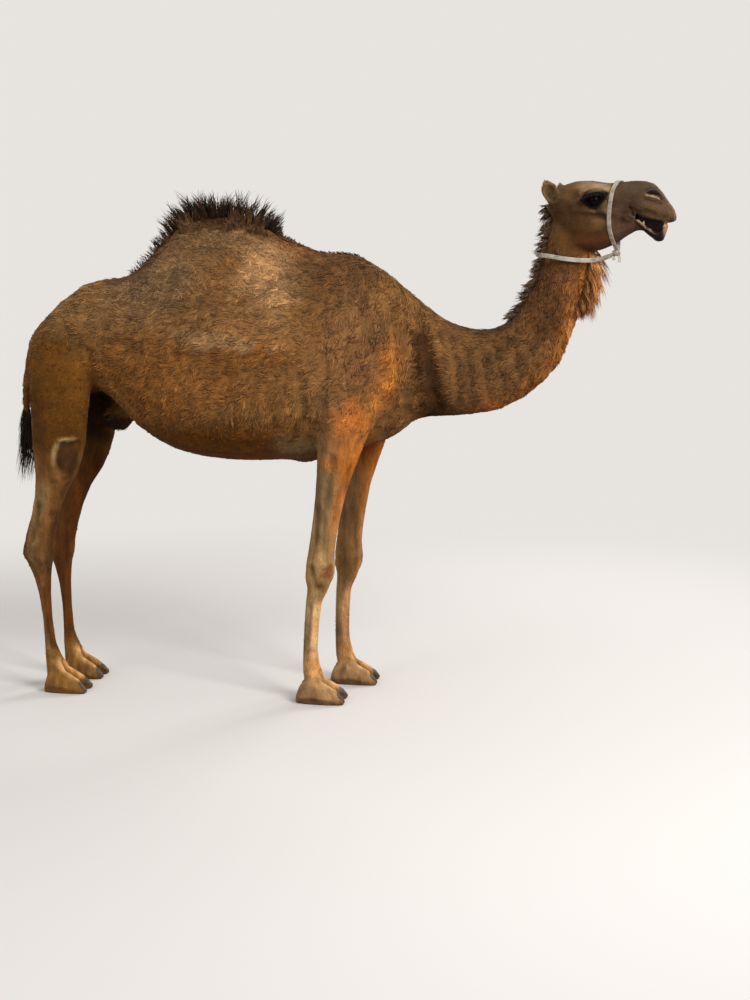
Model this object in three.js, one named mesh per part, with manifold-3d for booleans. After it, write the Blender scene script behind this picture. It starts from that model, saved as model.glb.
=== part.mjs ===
// A standing dromedary camel, life size, in millimetres.
// X runs forward, Y to the animal's left and Z up; the feet rest on Z = 0.

import * as THREE from 'three';
import { mergeVertices } from 'three/addons/utils/BufferGeometryUtils.js';
import Module from 'manifold-3d';

const wasm = await Module();
wasm.setup();

// ---- Driving sizes ----

const GAP = 0.4;                  // width of the thin cuts between neighbouring pieces
const WITHERS = 1775;             // height of the back over the shoulders
const HUMP_TOP = 1932;            // height of the hump's skin
const CREST_TOP = 2034;           // height of the long hair on the hump
const BARREL_HALF_WIDTH = 308;    // half the width of the belly
const HEAD_PLACE = [1440, 0, 1960];
const HEAD_TURN = -18;            // degrees, nose towards the animal's right
const HEAD_FRONT = 434;           // lips ahead of the head's own origin
const EYE_RADIUS = 24;
const EYE_PLACE = [141, 80, 3];   // in the head's frame, mirrored for the other eye
const EAR_LENGTH = 108;
const EAR_ROOT = [-14, 58, -20];
const STRAP_WIDTH = 17;
const STRAP_THICK = 3.2;
const FORE_FOOT_SHIFT = 95;       // the left fore foot stands this far ahead of the right one
const FORE_FOOT = { x: 507, y: 156, length: 200, width: 170 };
const HIND_FOOT = { x: -551, y: 117, length: 182, width: 148 };
const FORE_CUTS = [1075, 470, 150];          // elbow, knee and fetlock cuts, from the top down
const HIND_CUTS = [1330, 880, 505, 150];     // thigh, stifle, hock and fetlock cuts
const HUMP_CUT = [[-263, 0, 1690], [-0.113, 0, 0.994]];
const NECK_ROOT_CUT = [[865, 0, 1400], [0.976, 0, 0.218]];
const NECK_MIDDLE_CUT = [[1305, 0, 1398], [0.94, 0, 0.34]];
const TUFT_START = 0.55;          // share of the tail's length that has no tuft
const SHEATH_PLACE = [-343, 0, 1112];
const SHEATH_RADII = [72, 42, 62];
const KNOT_PLACE = [1638, -64, 1767];

const SIDES = { right: -1, left: 1 };
const mirrored = ([x, y, z], side) => [x, side * y, z];

// ---- Shape tools ----

// A smooth line through [place, value] pairs: no overshoot, level beyond its ends.
function curve(...pairs) {
  const last = pairs.length - 1;
  const rise = pairs.slice(1).map(([x, y], i) => (y - pairs[i][1]) / (x - pairs[i][0]));
  const slope = pairs.map((pair, i) => {
    if (i === 0 || i === last) return rise[Math.min(i, last - 1)];
    const [before, after] = [rise[i - 1], rise[i]];
    return before * after > 0 ? (2 * before * after) / (before + after) : 0;
  });
  return (x) => {
    if (x <= pairs[0][0]) return pairs[0][1];
    if (x >= pairs[last][0]) return pairs[last][1];
    const i = pairs.findIndex((pair) => pair[0] > x) - 1;
    const [[x0, y0], [x1, y1]] = [pairs[i], pairs[i + 1]];
    const [span, t] = [x1 - x0, (x - x0) / (x1 - x0)];
    return (y0 * (1 + 2 * t) + slope[i] * span * t) * (1 - t) ** 2
      + (y1 * (3 - 2 * t) - slope[i + 1] * span * (1 - t)) * t ** 2;
  };
}

// Evenly spaced places from one end to the other, both included.
function places(from, to, count) {
  return Array.from({ length: count }, (_, i) => from + ((to - from) * i) / (count - 1));
}

// Places that crowd together towards both ends, for a body with rounded ends.
function roundedPlaces(from, to, count) {
  return places(0, Math.PI, count).map((t) => from + ((to - from) * (1 - Math.cos(t))) / 2);
}

// Sine and cosine bent by an exponent, for sections between a diamond and a box.
function bent(value, power) {
  return Math.sign(value) * Math.abs(value) ** power;
}

// A ring of points: shape(sine, cosine) gives each one, starting at the top or the front.
function ring(count, shape) {
  return places(0, 2 * Math.PI, count + 1).slice(0, count)
    .map((t) => new THREE.Vector3(...shape(Math.sin(t), Math.cos(t))));
}

// A closed body skinned over rings of equal counts, with a fan of triangles at each end.
function loft(rings) {
  const count = rings[0].length;
  const middle = (points) => points.reduce((sum, p) => sum.add(p), new THREE.Vector3())
    .divideScalar(count);
  const points = [...rings.flat(), middle(rings[0]), middle(rings.at(-1))];
  const [first, last] = [rings.length * count, rings.length * count + 1];
  const index = [];
  for (let i = 0; i < count; i += 1) {
    const next = (i + 1) % count;
    for (let r = 0; r < rings.length - 1; r += 1) {
      const [a, b] = [r * count + i, r * count + next];
      index.push(a, b, a + count, b, b + count, a + count);
    }
    const tail = (rings.length - 1) * count;
    index.push(first, next, i, last, tail + i, tail + next);
  }
  return facingOut(new THREE.BufferGeometry().setFromPoints(points), index);
}

// Sets the index of a closed geometry, turned over if its faces point in.
function facingOut(geometry, index) {
  const place = geometry.getAttribute('position');
  const corner = (i) => new THREE.Vector3().fromBufferAttribute(place, i);
  let volume = 0;
  for (let i = 0; i < index.length; i += 3) {
    volume += corner(index[i]).dot(corner(index[i + 1]).cross(corner(index[i + 2])));
  }
  if (volume < 0) index.reverse();
  geometry.setIndex(index);
  return geometry;
}

// A closed three.js geometry as a solid that can be joined and cut.
function solid(geometry) {
  const bare = geometry.clone();
  bare.deleteAttribute('normal');
  bare.deleteAttribute('uv');
  const merged = mergeVertices(bare, 1e-3);
  return new wasm.Manifold(new wasm.Mesh({
    numProp: 3,
    vertProperties: new Float32Array(merged.getAttribute('position').array),
    triVerts: new Uint32Array(merged.getIndex().array),
  }));
}

function join(...solids) {
  return solids.reduce((whole, piece) => whole.add(piece));
}

// Takes the other solids away and keeps the largest piece that is left.
function cut(body, ...others) {
  const left = others.reduce((rest, other) => rest.subtract(other), body);
  return left.decompose().reduce((big, piece) => (piece.volume() > big.volume() ? piece : big));
}

// What lies ahead of a plane through a point, in the direction of its normal.
function beyond(body, point, normal) {
  const out = new THREE.Vector3(...normal).normalize();
  return body.trimByPlane(out.toArray(), out.dot(new THREE.Vector3(...point)));
}

// The two sides of a thin cut along a plane: [behind it, ahead of it].
function part(body, point, normal) {
  const shift = new THREE.Vector3(...normal).normalize().multiplyScalar(GAP);
  const behind = beyond(body, point, normal.map((n) => -n));
  return [behind, beyond(body, shift.add(new THREE.Vector3(...point)).toArray(), normal)];
}

// ---- Materials ----

function material(color, roughness) {
  return new THREE.MeshStandardMaterial({ color, roughness, metalness: 0 });
}

const COAT = material(0x9c7a4e, 0.95);
const HUMP_COAT = material(0x8d7148, 0.97);
const LEG_COAT = material(0xb08d62, 0.9);
const MUZZLE = material(0x7a614a, 0.85);
const LONG_HAIR = material(0x3a2a20, 0.9);
const BEARD = material(0x8a4f26, 0.9);
const NAIL = material(0x4a433d, 0.55);
const EYE = material(0x150d09, 0.08);
const WEBBING = material(0xd9d2c2, 0.85);

const camel = new THREE.Group();
const head = new THREE.Group();
head.position.set(...HEAD_PLACE);
head.rotation.z = THREE.MathUtils.degToRad(HEAD_TURN);
camel.add(head);

// Adds a finished solid to a group as a named mesh.
function add(group, name, body, look) {
  const { vertProperties, triVerts } = body.getMesh();
  const geometry = new THREE.BufferGeometry();
  geometry.setAttribute('position', new THREE.BufferAttribute(vertProperties, 3));
  geometry.setIndex(new THREE.BufferAttribute(triVerts, 1));
  geometry.computeVertexNormals();
  const mesh = new THREE.Mesh(geometry, look);
  mesh.name = name;
  group.add(mesh);
}

// ---- Trunk and hump ----

// Sections of the trunk from the pin bones to the chest: place along X, height of the back,
// height of the belly, half width, height of the widest level, and how peaked the back is
// (1 is round; more draws it up into the hump).
const TRUNK_SECTIONS = [
  [-716, 1330, 1290, 30, 1310, 1], [-704, 1400, 1258, 76, 1325, 0.98],
  [-680, 1465, 1226, 120, 1350, 0.96], [-630, 1517, 1199, 168, 1385, 0.94],
  [-550, 1590, 1192, 203, 1402, 0.91], [-460, 1651, 1204, 213, 1409, 0.88],
  [-400, 1667, 1220, 207, 1397, 0.93], [-350, 1673, 1185, 210, 1380, 0.97],
  [-300, 1683, 1139, 225, 1360, 1], [-250, 1711, 1078, 238, 1342, 1.15],
  [-175, 1788, 1024, 264, 1305, 1.43], [-95, 1871, 984, 286, 1268, 1.65],
  [-45, 1915, 970, 296, 1253, 1.75], [30, HUMP_TOP, 954, 306, 1240, 1.8],
  [130, HUMP_TOP, 944, BARREL_HALF_WIDTH, 1231, 1.8], [210, 1913, 942, 307, 1231, 1.72],
  [330, 1851, 946, 289, 1238, 1.5], [410, 1810, 949, 272, 1250, 1.37],
  [490, WITHERS + 3, 958, 251, 1268, 1.27], [606, WITHERS, 983, 225, 1291, 1.17],
  [660, 1763, 997, 210, 1300, 1.14], [724, 1724, 1016, 190, 1312, 1.1],
  [790, 1676, 1048, 168, 1321, 1.05], [850, 1600, 1092, 130, 1330, 1],
];

function trunkForm(grow = 0) {
  return loft(TRUNK_SECTIONS.map(([x, back, belly, half, waist, peak]) => ring(20, (sine, cosine) => {
    const height = cosine > 0 ? back - waist : waist - belly;
    const side = bent(sine, cosine > 0 ? peak : 0.9);
    return [x, (half + grow) * side, waist + (height + grow) * cosine];
  })));
}

// ---- Neck ----

// Matching points on the nape and the throat line, seen from the side, and the half width.
const NECK_STATIONS = [
  [640, 1728, 775, 1085, 130], [724, 1714, 866, 1106, 158], [803, 1662, 924, 1124, 150],
  [882, 1596, 984, 1125, 130], [962, 1533, 1030, 1128, 114], [1050, 1492, 1085, 1134, 104],
  [1138, 1480, 1150, 1146, 98], [1197, 1494, 1250, 1182, 92], [1255, 1538, 1356, 1258, 87],
  [1285, 1590, 1433, 1348, 83], [1318, 1652, 1481, 1473, 79], [1342, 1724, 1521, 1589, 75],
  [1360, 1792, 1553, 1700, 71], [1372, 1860, 1558, 1780, 67], [1396, 1932, 1530, 1850, 60],
];

const throughStations = (values) => new THREE.CatmullRomCurve3(values);
const napeLine = throughStations(NECK_STATIONS.map(([x, z]) => new THREE.Vector3(x, 0, z)));
const throatLine = throughStations(NECK_STATIONS.map(([, , x, z]) => new THREE.Vector3(x, 0, z)));
const neckWidth = curve(...NECK_STATIONS.map((row, i) => [i / (NECK_STATIONS.length - 1), row[4]]));

// The ring across the neck at a share of its stations, wider in the throat than at the nape.
function neckRing(share, grow, count = 16) {
  const [nape, throat] = [napeLine.getPoint(share), throatLine.getPoint(share)];
  const up = nape.clone().sub(throat).divideScalar(2);
  const centre = nape.clone().add(throat).divideScalar(2);
  const depth = up.length() + grow;
  up.normalize();
  return ring(count, (sine, cosine) => up.clone().multiplyScalar(depth * cosine).add(centre)
    .setY((neckWidth(share) + grow) * sine * (1 - 0.16 * cosine)).toArray());
}

function neckForm(grow = 0) {
  return loft(places(0, 1, 18).map((share) => neckRing(share, grow)));
}

// ---- Legs ----

// Sections of a right leg from its root in the trunk down to the fetlock: height, back and
// front edge along X, outer and inner side across Y. A left leg is the mirror image, and
// lead() sets it forward by the stride.
const foreLeg = {
  sections: [
    [1560, 548, 770, 152, 20], [1470, 502, 806, 198, 30], [1380, 480, 818, 224, 42],
    [1290, 464, 808, 241, 55], [1200, 453, 775, 249, 66], [1130, 460, 738, 249, 80],
    [1075, 475, 709, 245, 88], [1010, 490, 682, 238, 97], [930, 488, 649, 223, 106],
    [840, 483, 614, 210, 110], [740, 473, 590, 201, 113], [660, 462, 574, 202, 109],
    [600, 452, 566, 205, 101], [550, 443, 566, 209, 97], [500, 446, 558, 204, 103],
    [450, 448, 540, 193, 112], [400, 442, 514, 187, 118], [310, 435, 503, 184, 118],
    [210, 430, 497, 186, 118], [160, 429, 501, 192, 112], [110, 431, 516, 197, 108],
    [60, 438, 528, 200, 106],
  ],
  lead: (z) => FORE_FOOT_SHIFT - 0.04 * z,
};
const hindLeg = {
  sections: [
    [1500, -620, -430, 180, 10], [1420, -660, -404, 215, 18], [1330, -674, -397, 230, 30],
    [1240, -673, -405, 235, 50], [1130, -668, -419, 231, 65], [1030, -666, -428, 221, 77],
    [960, -661, -448, 209, 82], [890, -658, -478, 193, 84], [820, -665, -524, 173, 84],
    [740, -677, -556, 156, 84], [660, -703, -577, 152, 81], [600, -724, -588, 155, 77],
    [565, -726, -593, 155, 75], [525, -708, -600, 149, 77], [470, -685, -605, 143, 80],
    [400, -666, -609, 139, 84], [300, -652, -606, 137, 87], [200, -647, -595, 141, 84],
    [150, -645, -577, 151, 74], [110, -642, -556, 156, 72], [60, -640, -546, 158, 72],
  ],
  lead: (z) => 0.03 * z,
};

function legForm(leg, side) {
  return loft(leg.sections.map(([z, back, front, outer, inner]) => {
    const shift = side > 0 ? leg.lead(z) : 0;
    return ring(10, (sine, cosine) => [
      shift + (front + back) / 2 + ((front - back) / 2) * cosine,
      side * ((outer + inner) / 2 + ((outer - inner) / 2) * sine),
      z,
    ]);
  }));
}

// One toe: a low form, flat underneath, whose ridge runs down to the tip from the fetlock.
function toeForm(foot, side, toe) {
  const height = curve([-1, 30], [-0.92, 62], [-0.6, 98], [-0.2, 106], [0.1, 88], [0.4, 62],
    [0.75, 42], [1, 24]);
  const width = curve([-1, 0.24], [-0.9, 0.42], [-0.4, 0.56], [0.3, 0.57], [0.8, 0.45], [1, 0.28]);
  return loft([-1, -0.82, -0.3, 0.3, 0.75, 1].map((t) => ring(8, (sine, cosine) => [
    foot.x + (foot.length / 2) * t,
    toeMiddle(foot, side, toe, t) + (foot.width / 2) * width(t) * sine
      * (cosine > 0 ? 1 - 0.2 * cosine : 1),
    Math.max(0, height(t) * (0.3 + 0.7 * cosine)),
  ])));
}

// The line down the middle of a toe: the two toes spread from the heel to the tips.
function toeMiddle(foot, side, toe, t) {
  return side * foot.y + 0.23 * foot.width * toe * (1 + 0.2 * t);
}

// One toenail: a blunt hook on the front of a toe, clear of the ground.
function nailForm(foot, side, toe, grow = 0) {
  const tip = foot.x + foot.length / 2;
  const half = curve([0, 15], [0.6, 13], [1, 6]);
  const rise = curve([0, 52], [0.5, 42], [1, 20]);
  return loft(places(0, 1, 3).map((t) => ring(6, (sine, cosine) => [
    tip - 28 + 34 * t + (t === 0 ? -grow : 0),
    toeMiddle(foot, side, toe, 1) + (half(t) + grow) * sine,
    8 + (rise(t) - 8) / 2 + ((rise(t) - 8) / 2 + grow) * cosine,
  ])));
}

// ---- Head, in its own frame: X along the nose, Z up from the eyes' level ----

// Sections of the skull and upper lip from back to front: place, height of the crown and of
// the underside, half width, height of the widest level, and how round the crown is.
const HEAD_SECTIONS = [
  [-64, -18, -34, 44, -26, 0.9], [-52, 26, -48, 56, -30, 0.9], [-28, 54, -75, 68, -30, 0.87],
  [8, 73, -118, 75, -26, 0.85], [50, 83, -163, 80, -16, 0.8], [95, 82, -172, 90, 8, 0.8],
  [140, 74, -155, 93, 12, 0.8], [178, 70, -131, 77, 12, 0.9], [212, 74, -103, 62, 10, 1.08],
  [250, 78, -64, 54, 4, 1.12], [284, 78, -46, 53, -8, 1.06], [320, 75, -70, 55, -22, 1],
  [350, 65, -81, 55, -32, 0.98], [378, 36, -86, 51, -40, 0.93], [402, 1, -85, 43, -44, 0.9],
  [420, -32, -82, 34, -58, 0.87], [HEAD_FRONT, -56, -78, 24, -66, 0.85],
];

// Sections of the lower jaw, from its corner to the hanging lip: place, lower and upper
// edge, half width.
const JAW_SECTIONS = [
  [22, -146, -120, 40], [36, -162, -117, 50], [60, -176, -112, 59], [100, -187, -101, 60],
  [144, -188, -88, 55], [202, -163, -70, 47], [252, -130, -62, 38], [284, -111, -64, 35],
  [312, -110, -84, 34], [337, -132, -105, 33], [364, -150, -123, 32], [385, -148, -118, 27],
  [402, -118, -103, 18],
];

// The whole head without the jaw, with its brow ridges and slit nostrils.
function headForm(grow = 0) {
  const main = solid(loft(HEAD_SECTIONS.map(([s, crown, under, half, level, round], i) => {
    const end = i === 0 ? -grow : (i === HEAD_SECTIONS.length - 1 ? grow : 0);
    return ring(16, (sine, cosine) => {
      const height = cosine > 0 ? crown - level : level - under;
      const side = cosine > 0 ? bent(sine, round) : bent(sine, 0.72) * (1 + 0.2 * cosine);
      return [s + end, (half + grow) * side, level + (height + grow) * cosine];
    });
  })));
  const brows = Object.values(SIDES).map((side) => solid(egg(
    mirrored([EYE_PLACE[0] - 4, 72, 32], side), [50 + grow, 24 + grow, 20 + grow], side * -9)));
  return join(main, ...brows);
}

function jawForm(grow = 0) {
  return loft(JAW_SECTIONS.map(([s, under, over, half]) => ring(10, (sine, cosine) => [
    s,
    (half + grow) * bent(sine, 0.8),
    (over + under) / 2 + ((over - under) / 2 + grow) * bent(cosine, 0.85),
  ])));
}

// An ellipsoid, by its centre and half sizes, turned about Z by some degrees.
function egg(centre, size, turn = 0, steps = 8) {
  const ball = new THREE.SphereGeometry(1, steps, Math.round(steps * 0.7));
  ball.scale(...size);
  ball.rotateZ(THREE.MathUtils.degToRad(turn));
  ball.translate(...centre);
  return ball;
}

// A leaf-shaped ear that leans back and outwards, hollowed on its outer face.
function earForm(side) {
  const width = curve([0, 0.42], [0.3, 0.86], [0.6, 1], [0.85, 0.72], [1, 0.25]);
  const up = new THREE.Vector3(-0.3, side * 0.3, 0.9).normalize();
  const across = new THREE.Vector3(0.5, side * 0.85, 0).cross(up).normalize();
  const out = up.clone().cross(across);
  const leaf = (wide, thick, from, ahead) => loft(places(from, 1, 5).map((t) => ring(8,
    (sine, cosine) => across.clone().multiplyScalar(wide * width(t) * sine)
      .addScaledVector(out, ahead + thick * width(t) * cosine)
      .addScaledVector(up, EAR_LENGTH * t)
      .add(new THREE.Vector3(...EAR_ROOT).multiply(new THREE.Vector3(1, side, 1))).toArray())));
  return solid(leaf(35, 17, 0, 0)).subtract(solid(leaf(27, 15, 0.3, 13)));
}

// ---- Long hair ----

// The standing crest along the top of the hump and the short line of hair beside it.
function crestForm() {
  const tips = curve([-262, 1722], [-212, 1775], [-140, 1850], [-107, 1900], [-84, 1955],
    [-40, 2000], [40, CREST_TOP], [150, 2014], [245, 2006], [300, 1968], [322, 1905], [350, 1862],
    [430, 1818]);
  const root = curve([-262, 1680], [-179, 1750], [-96, 1835], [-20, 1895], [60, 1905],
    [140, 1905], [208, 1885], [327, 1825], [430, 1780]);
  const half = curve([-262, 16], [-140, 26], [-70, 50], [60, 62], [200, 52], [310, 34], [430, 14]);
  return loft(roundedPlaces(-262, 430, 15).map((x) => ring(8, (sine, cosine) => {
    const share = (1 + cosine) / 2;
    return [x, half(x) * sine * (1 - 0.62 * share), root(x) + (tips(x) - root(x)) * share];
  })));
}

// The mane along the nape, from the middle of the neck up to the back of the skull.
function maneForm() {
  return loft(places(0.56, 1, 11).map((share) => {
    const nape = napeLine.getPoint(share);
    const up = nape.clone().sub(throatLine.getPoint(share)).normalize();
    const out = 24 + 8 * Math.sin(52 * share);
    return ring(6, (sine, cosine) => up.clone()
      .multiplyScalar(-20 + (20 + out) * (0.5 + 0.5 * cosine)).add(nape)
      .setY(24 * sine * (1 - 0.45 * cosine)).toArray());
  }));
}

// The beard of long hair that hangs from the throat along the front of the neck.
function beardForm() {
  const front = curve([1450, 1552], [1470, 1588], [1530, 1611], [1600, 1615], [1660, 1606],
    [1728, 1584]);
  const back = curve([1450, 1520], [1480, 1470], [1600, 1480], [1728, 1510]);
  const half = curve([1450, 8], [1480, 26], [1560, 44], [1640, 48], [1728, 34]);
  return loft(roundedPlaces(1448, 1728, 9).map((z) => ring(8, (sine, cosine) => [
    (front(z) + back(z)) / 2 + ((front(z) - back(z)) / 2) * cosine, half(z) * sine, z,
  ])));
}

// ---- Tail ----

const tailPath = new THREE.CatmullRomCurve3([
  [-678, 1372], [-712, 1310], [-726, 1222], [-730, 1150], [-724, 1060], [-728, 975], [-742, 880],
  [-764, 776],
].map(([x, z]) => new THREE.Vector3(x, 0, z)));

// A length of the tail between two shares of its path, round in section.
function tailForm(thick, from, to) {
  return loft(places(from, to, 8).map((share) => {
    const centre = tailPath.getPointAt(share);
    const along = tailPath.getTangentAt(share);
    const back = new THREE.Vector3(along.z, 0, -along.x);
    const radius = thick(share);
    return ring(8, (sine, cosine) => back.clone().multiplyScalar(radius * cosine).add(centre)
      .setY(radius * sine).toArray());
  }));
}

function dockForm() {
  return tailForm(curve([0, 26], [0.2, 20], [0.7, 12]), 0, TUFT_START);
}

function tuftForm() {
  const thick = curve([TUFT_START, 15], [0.7, 21], [0.85, 20], [1, 5]);
  return tailForm(thick, TUFT_START + GAP / tailPath.getLength(), 1);
}

// ---- Halter ----

// A flat strap round a closed loop: inside(t) gives the loop's points and out(t) the
// direction away from its middle; the strap's width runs along its broad side.
function strapForm(count, inside, out, broad) {
  const corners = [[0, -0.5], [0, 0.5], [1, 0.5], [1, -0.5]];
  const points = [];
  const index = [];
  for (let i = 0; i < count; i += 1) {
    const t = (2 * Math.PI * i) / count;
    const wide = new THREE.Vector3(...broad(t));
    for (const [thick, across] of corners) {
      points.push(new THREE.Vector3(...inside(t)).addScaledVector(out(t), thick * STRAP_THICK)
        .addScaledVector(wide, across * STRAP_WIDTH));
    }
    for (let c = 0; c < 4; c += 1) {
      const [a, b] = [4 * i + c, 4 * i + ((c + 1) % 4)];
      const [d, e] = [(a + 4) % (4 * count), (b + 4) % (4 * count)];
      index.push(a, b, d, b, e, d);
    }
  }
  return facingOut(new THREE.BufferGeometry().setFromPoints(points), index);
}

// A closed loop through places, with a flat strap laid along it. The broad side faces out.
function bandForm(loop, count, broad, level) {
  const path = new THREE.CatmullRomCurve3(loop.map((p) => new THREE.Vector3(...p)), true);
  const at = (t) => path.getPointAt(t / (2 * Math.PI));
  const out = (t) => path.getTangentAt(t / (2 * Math.PI)).cross(level).normalize();
  return strapForm(count, (t) => at(t).toArray(), out, () => broad);
}

// The band round the muzzle, in the head's frame: over the nose, down both cheeks and
// together under the jaw.
function nosebandForm() {
  const half = [[218, 0, 78], [217, 26, 75], [213, 46, 62], [206, 61, 38], [200, 66, 4],
    [195, 64, -45], [195, 58, -95], [201, 45, -135], [208, 26, -163]];
  const loop = [...half, [213, 0, -184], ...half.slice(1).reverse().map((p) => mirrored(p, -1))];
  return bandForm(loop, 28, [1, 0, 0], new THREE.Vector3(-1, 0, 0));
}

// The band round the top of the neck, drawn forward to the knot under the jaw.
function neckBandForm() {
  return bandForm([
    [1334, 0, 1764], [1346, -46, 1761], [1388, -74, 1755], [1440, -81, 1746], [1500, -79, 1740],
    [1560, -73, 1741], [1604, -70, 1754], KNOT_PLACE, [1618, -44, 1757], [1582, 12, 1745],
    [1545, 56, 1741], [1495, 80, 1742], [1440, 83, 1747], [1388, 76, 1755], [1346, 46, 1761],
  ], 30, [0, 0, 1], new THREE.Vector3(0, 0, 1));
}

// ---- Trunk, hump and neck ----

const bothSides = Object.entries(SIDES);

const legs = [];
for (const [kind, leg, foot, cuts, names] of [
  ['fore', foreLeg, FORE_FOOT, FORE_CUTS, ['upper', 'lower', 'foot']],
  ['hind', hindLeg, HIND_FOOT, HIND_CUTS, ['thigh', 'shank', 'lower', 'foot']],
]) {
  for (const [sideName, side] of bothSides) {
    const placed = { ...foot, x: foot.x + (side > 0 ? leg.lead(0) : 0) };
    const toes = [-1, 1].map((toe) => solid(toeForm(placed, side, toe)));
    const form = join(solid(legForm(leg, side)), ...toes);
    legs.push({ kind, sideName, side, placed, form, cuts, names });
  }
}

const trunkGrown = solid(trunkForm(GAP));
const neckGrown = solid(neckForm(GAP));
const limbRoots = legs.map(({ form, cuts }) => beyond(form, [0, 0, cuts[0] + GAP], [0, 0, 1]));
const chestPad = solid(egg([420, 0, 968], [80, 62, 27]));
const sheathForm = (grow = 0) => solid(egg(SHEATH_PLACE, SHEATH_RADII.map((r) => r + grow)));
const torso = join(solid(trunkForm()), solid(neckForm()), chestPad, sheathForm(), ...limbRoots);
const [rear, neck] = part(torso, ...NECK_ROOT_CUT);
const [trunk, hump] = part(rear, ...HUMP_CUT);
const [neckLower, neckTop] = part(neck, ...NECK_MIDDLE_CUT);

// ---- Head ----

const headGrown = headForm(GAP);
const jawGrown = solid(jawForm(GAP));
const jaw = cut(solid(jawForm()), headGrown);
const eye = (side, grow = 0) => solid(egg(mirrored(EYE_PLACE, side), Array(3).fill(EYE_RADIUS + grow)));
const nostril = (side) => solid(egg(mirrored([357, 57, 21], side), [35, 12, 6], side * -6));
const skull = cut(headForm(), ...Object.values(SIDES).flatMap((side) => [eye(side, GAP), nostril(side)]));

head.updateMatrix();
const inBody = (form) => form.transform(head.matrix.toArray());
const neckUpper = cut(neckTop, inBody(headGrown), inBody(jawGrown));

// ---- Build ----

const knotForm = (grow = 0) => solid(egg(KNOT_PLACE, [17 + grow, 14 + grow, 13 + grow]));
const knotGrown = knotForm(GAP);
const noseband = cut(solid(nosebandForm()), headGrown, jawGrown,
  knotGrown.transform(head.matrix.clone().invert().toArray()));
const neckStrap = cut(solid(neckBandForm()), neckGrown, inBody(headGrown), knotGrown);

add(camel, 'trunk', trunk, COAT);
add(camel, 'hump', hump, HUMP_COAT);
add(camel, 'neck_lower', neckLower, COAT);
add(camel, 'neck_upper', neckUpper, COAT);
add(head, 'head', skull, MUZZLE);
add(head, 'lower_jaw', jaw, MUZZLE);
for (const [sideName, side] of bothSides) {
  add(head, `eye_${sideName}`, eye(side), EYE);
  add(head, `ear_${sideName}`, cut(earForm(side), headGrown), COAT);
}

for (const { kind, sideName, side, placed, form, cuts, names } of legs) {
  let rest = cut(beyond(form, [0, 0, cuts[0]], [0, 0, -1]), trunkGrown, sheathForm(GAP));
  const pieces = cuts.slice(1).map((height) => {
    const [above, below] = part(rest, [0, 0, height], [0, 0, -1]);
    rest = below;
    return above;
  });
  const nailCuts = [];
  for (const [toeName, toe] of [['inner', -side], ['outer', side]]) {
    add(camel, `${kind}_nail_${sideName}_${toeName}`, solid(nailForm(placed, side, toe)), NAIL);
    nailCuts.push(solid(nailForm(placed, side, toe, GAP)));
  }
  [...pieces, cut(rest, ...nailCuts)].forEach((piece, i) => {
    add(camel, `${kind}_leg_${sideName}_${names[i]}`, piece, LEG_COAT);
  });
}

add(camel, 'tail', cut(solid(dockForm()), trunkGrown), COAT);
add(camel, 'tail_tuft', solid(tuftForm()), LONG_HAIR);
add(camel, 'hump_crest', cut(solid(crestForm()), trunkGrown), LONG_HAIR);
add(camel, 'mane', cut(solid(maneForm()), neckGrown, inBody(headGrown), solid(neckBandForm())),
  LONG_HAIR);
add(camel, 'beard', cut(solid(beardForm()), neckGrown), BEARD);
add(head, 'halter_noseband', noseband, WEBBING);
add(camel, 'halter_neck_strap', neckStrap, WEBBING);
add(camel, 'halter_knot', knotForm(), WEBBING);

// The origin lies on the ground under the middle of the whole animal.
camel.updateMatrixWorld(true);
const middle = new THREE.Box3().setFromObject(camel).getCenter(new THREE.Vector3());
camel.position.set(-middle.x, -middle.y, 0);

export default camel;
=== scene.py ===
# A standing one-humped camel, life size, in metres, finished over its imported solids.
# X runs forward, Y to the animal's left and Z up; the feet rest on Z = 0.

import math

import bpy
import numpy as np
from mathutils import Matrix, Vector


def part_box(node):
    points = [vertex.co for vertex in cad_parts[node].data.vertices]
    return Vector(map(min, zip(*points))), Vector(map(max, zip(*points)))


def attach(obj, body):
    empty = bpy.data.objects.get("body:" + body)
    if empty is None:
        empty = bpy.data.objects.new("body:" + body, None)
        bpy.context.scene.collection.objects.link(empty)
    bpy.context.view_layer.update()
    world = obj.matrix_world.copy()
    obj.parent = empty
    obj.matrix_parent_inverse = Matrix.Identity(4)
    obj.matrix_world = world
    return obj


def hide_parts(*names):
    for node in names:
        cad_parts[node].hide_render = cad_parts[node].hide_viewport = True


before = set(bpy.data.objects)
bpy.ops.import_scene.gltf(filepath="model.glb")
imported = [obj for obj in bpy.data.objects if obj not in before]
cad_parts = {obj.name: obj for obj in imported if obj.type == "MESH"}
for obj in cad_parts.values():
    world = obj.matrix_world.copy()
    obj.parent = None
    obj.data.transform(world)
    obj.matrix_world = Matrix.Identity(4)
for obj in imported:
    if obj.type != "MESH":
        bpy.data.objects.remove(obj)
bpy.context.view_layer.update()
bpy.ops.object.select_all(action="DESELECT")


# ---- The stand-in studio ----
# The camera stands at a person's eye height a little ahead of the shoulder. The floor is
# pale paint, and large soft lamps and a pale room light the animal evenly.

# The animal is measured in millimetres from its own origin on the floor. The right eye's
# place on the animal and its packed box say where that origin lies in the model's frame.
EYE_PLACE = Vector((1549.4, -119.65, 1963.0))
eye_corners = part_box("eye_right")
ORIGIN = (eye_corners[0] + eye_corners[1]) / 2 - EYE_PLACE / 1000


def metres(*place):
    """A place measured on the animal, in the model's own frame."""
    return ORIGIN + Vector(place) / 1000


def soft_lamp(name, place, target, width, watts):
    bpy.ops.object.light_add(type="AREA", location=metres(*place))
    lamp = bpy.context.object
    lamp.name = name
    lamp.data.size = width
    lamp.data.energy = watts
    aim = metres(*target) - lamp.location
    lamp.rotation_euler = aim.to_track_quat("-Z", "Y").to_euler()


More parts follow.
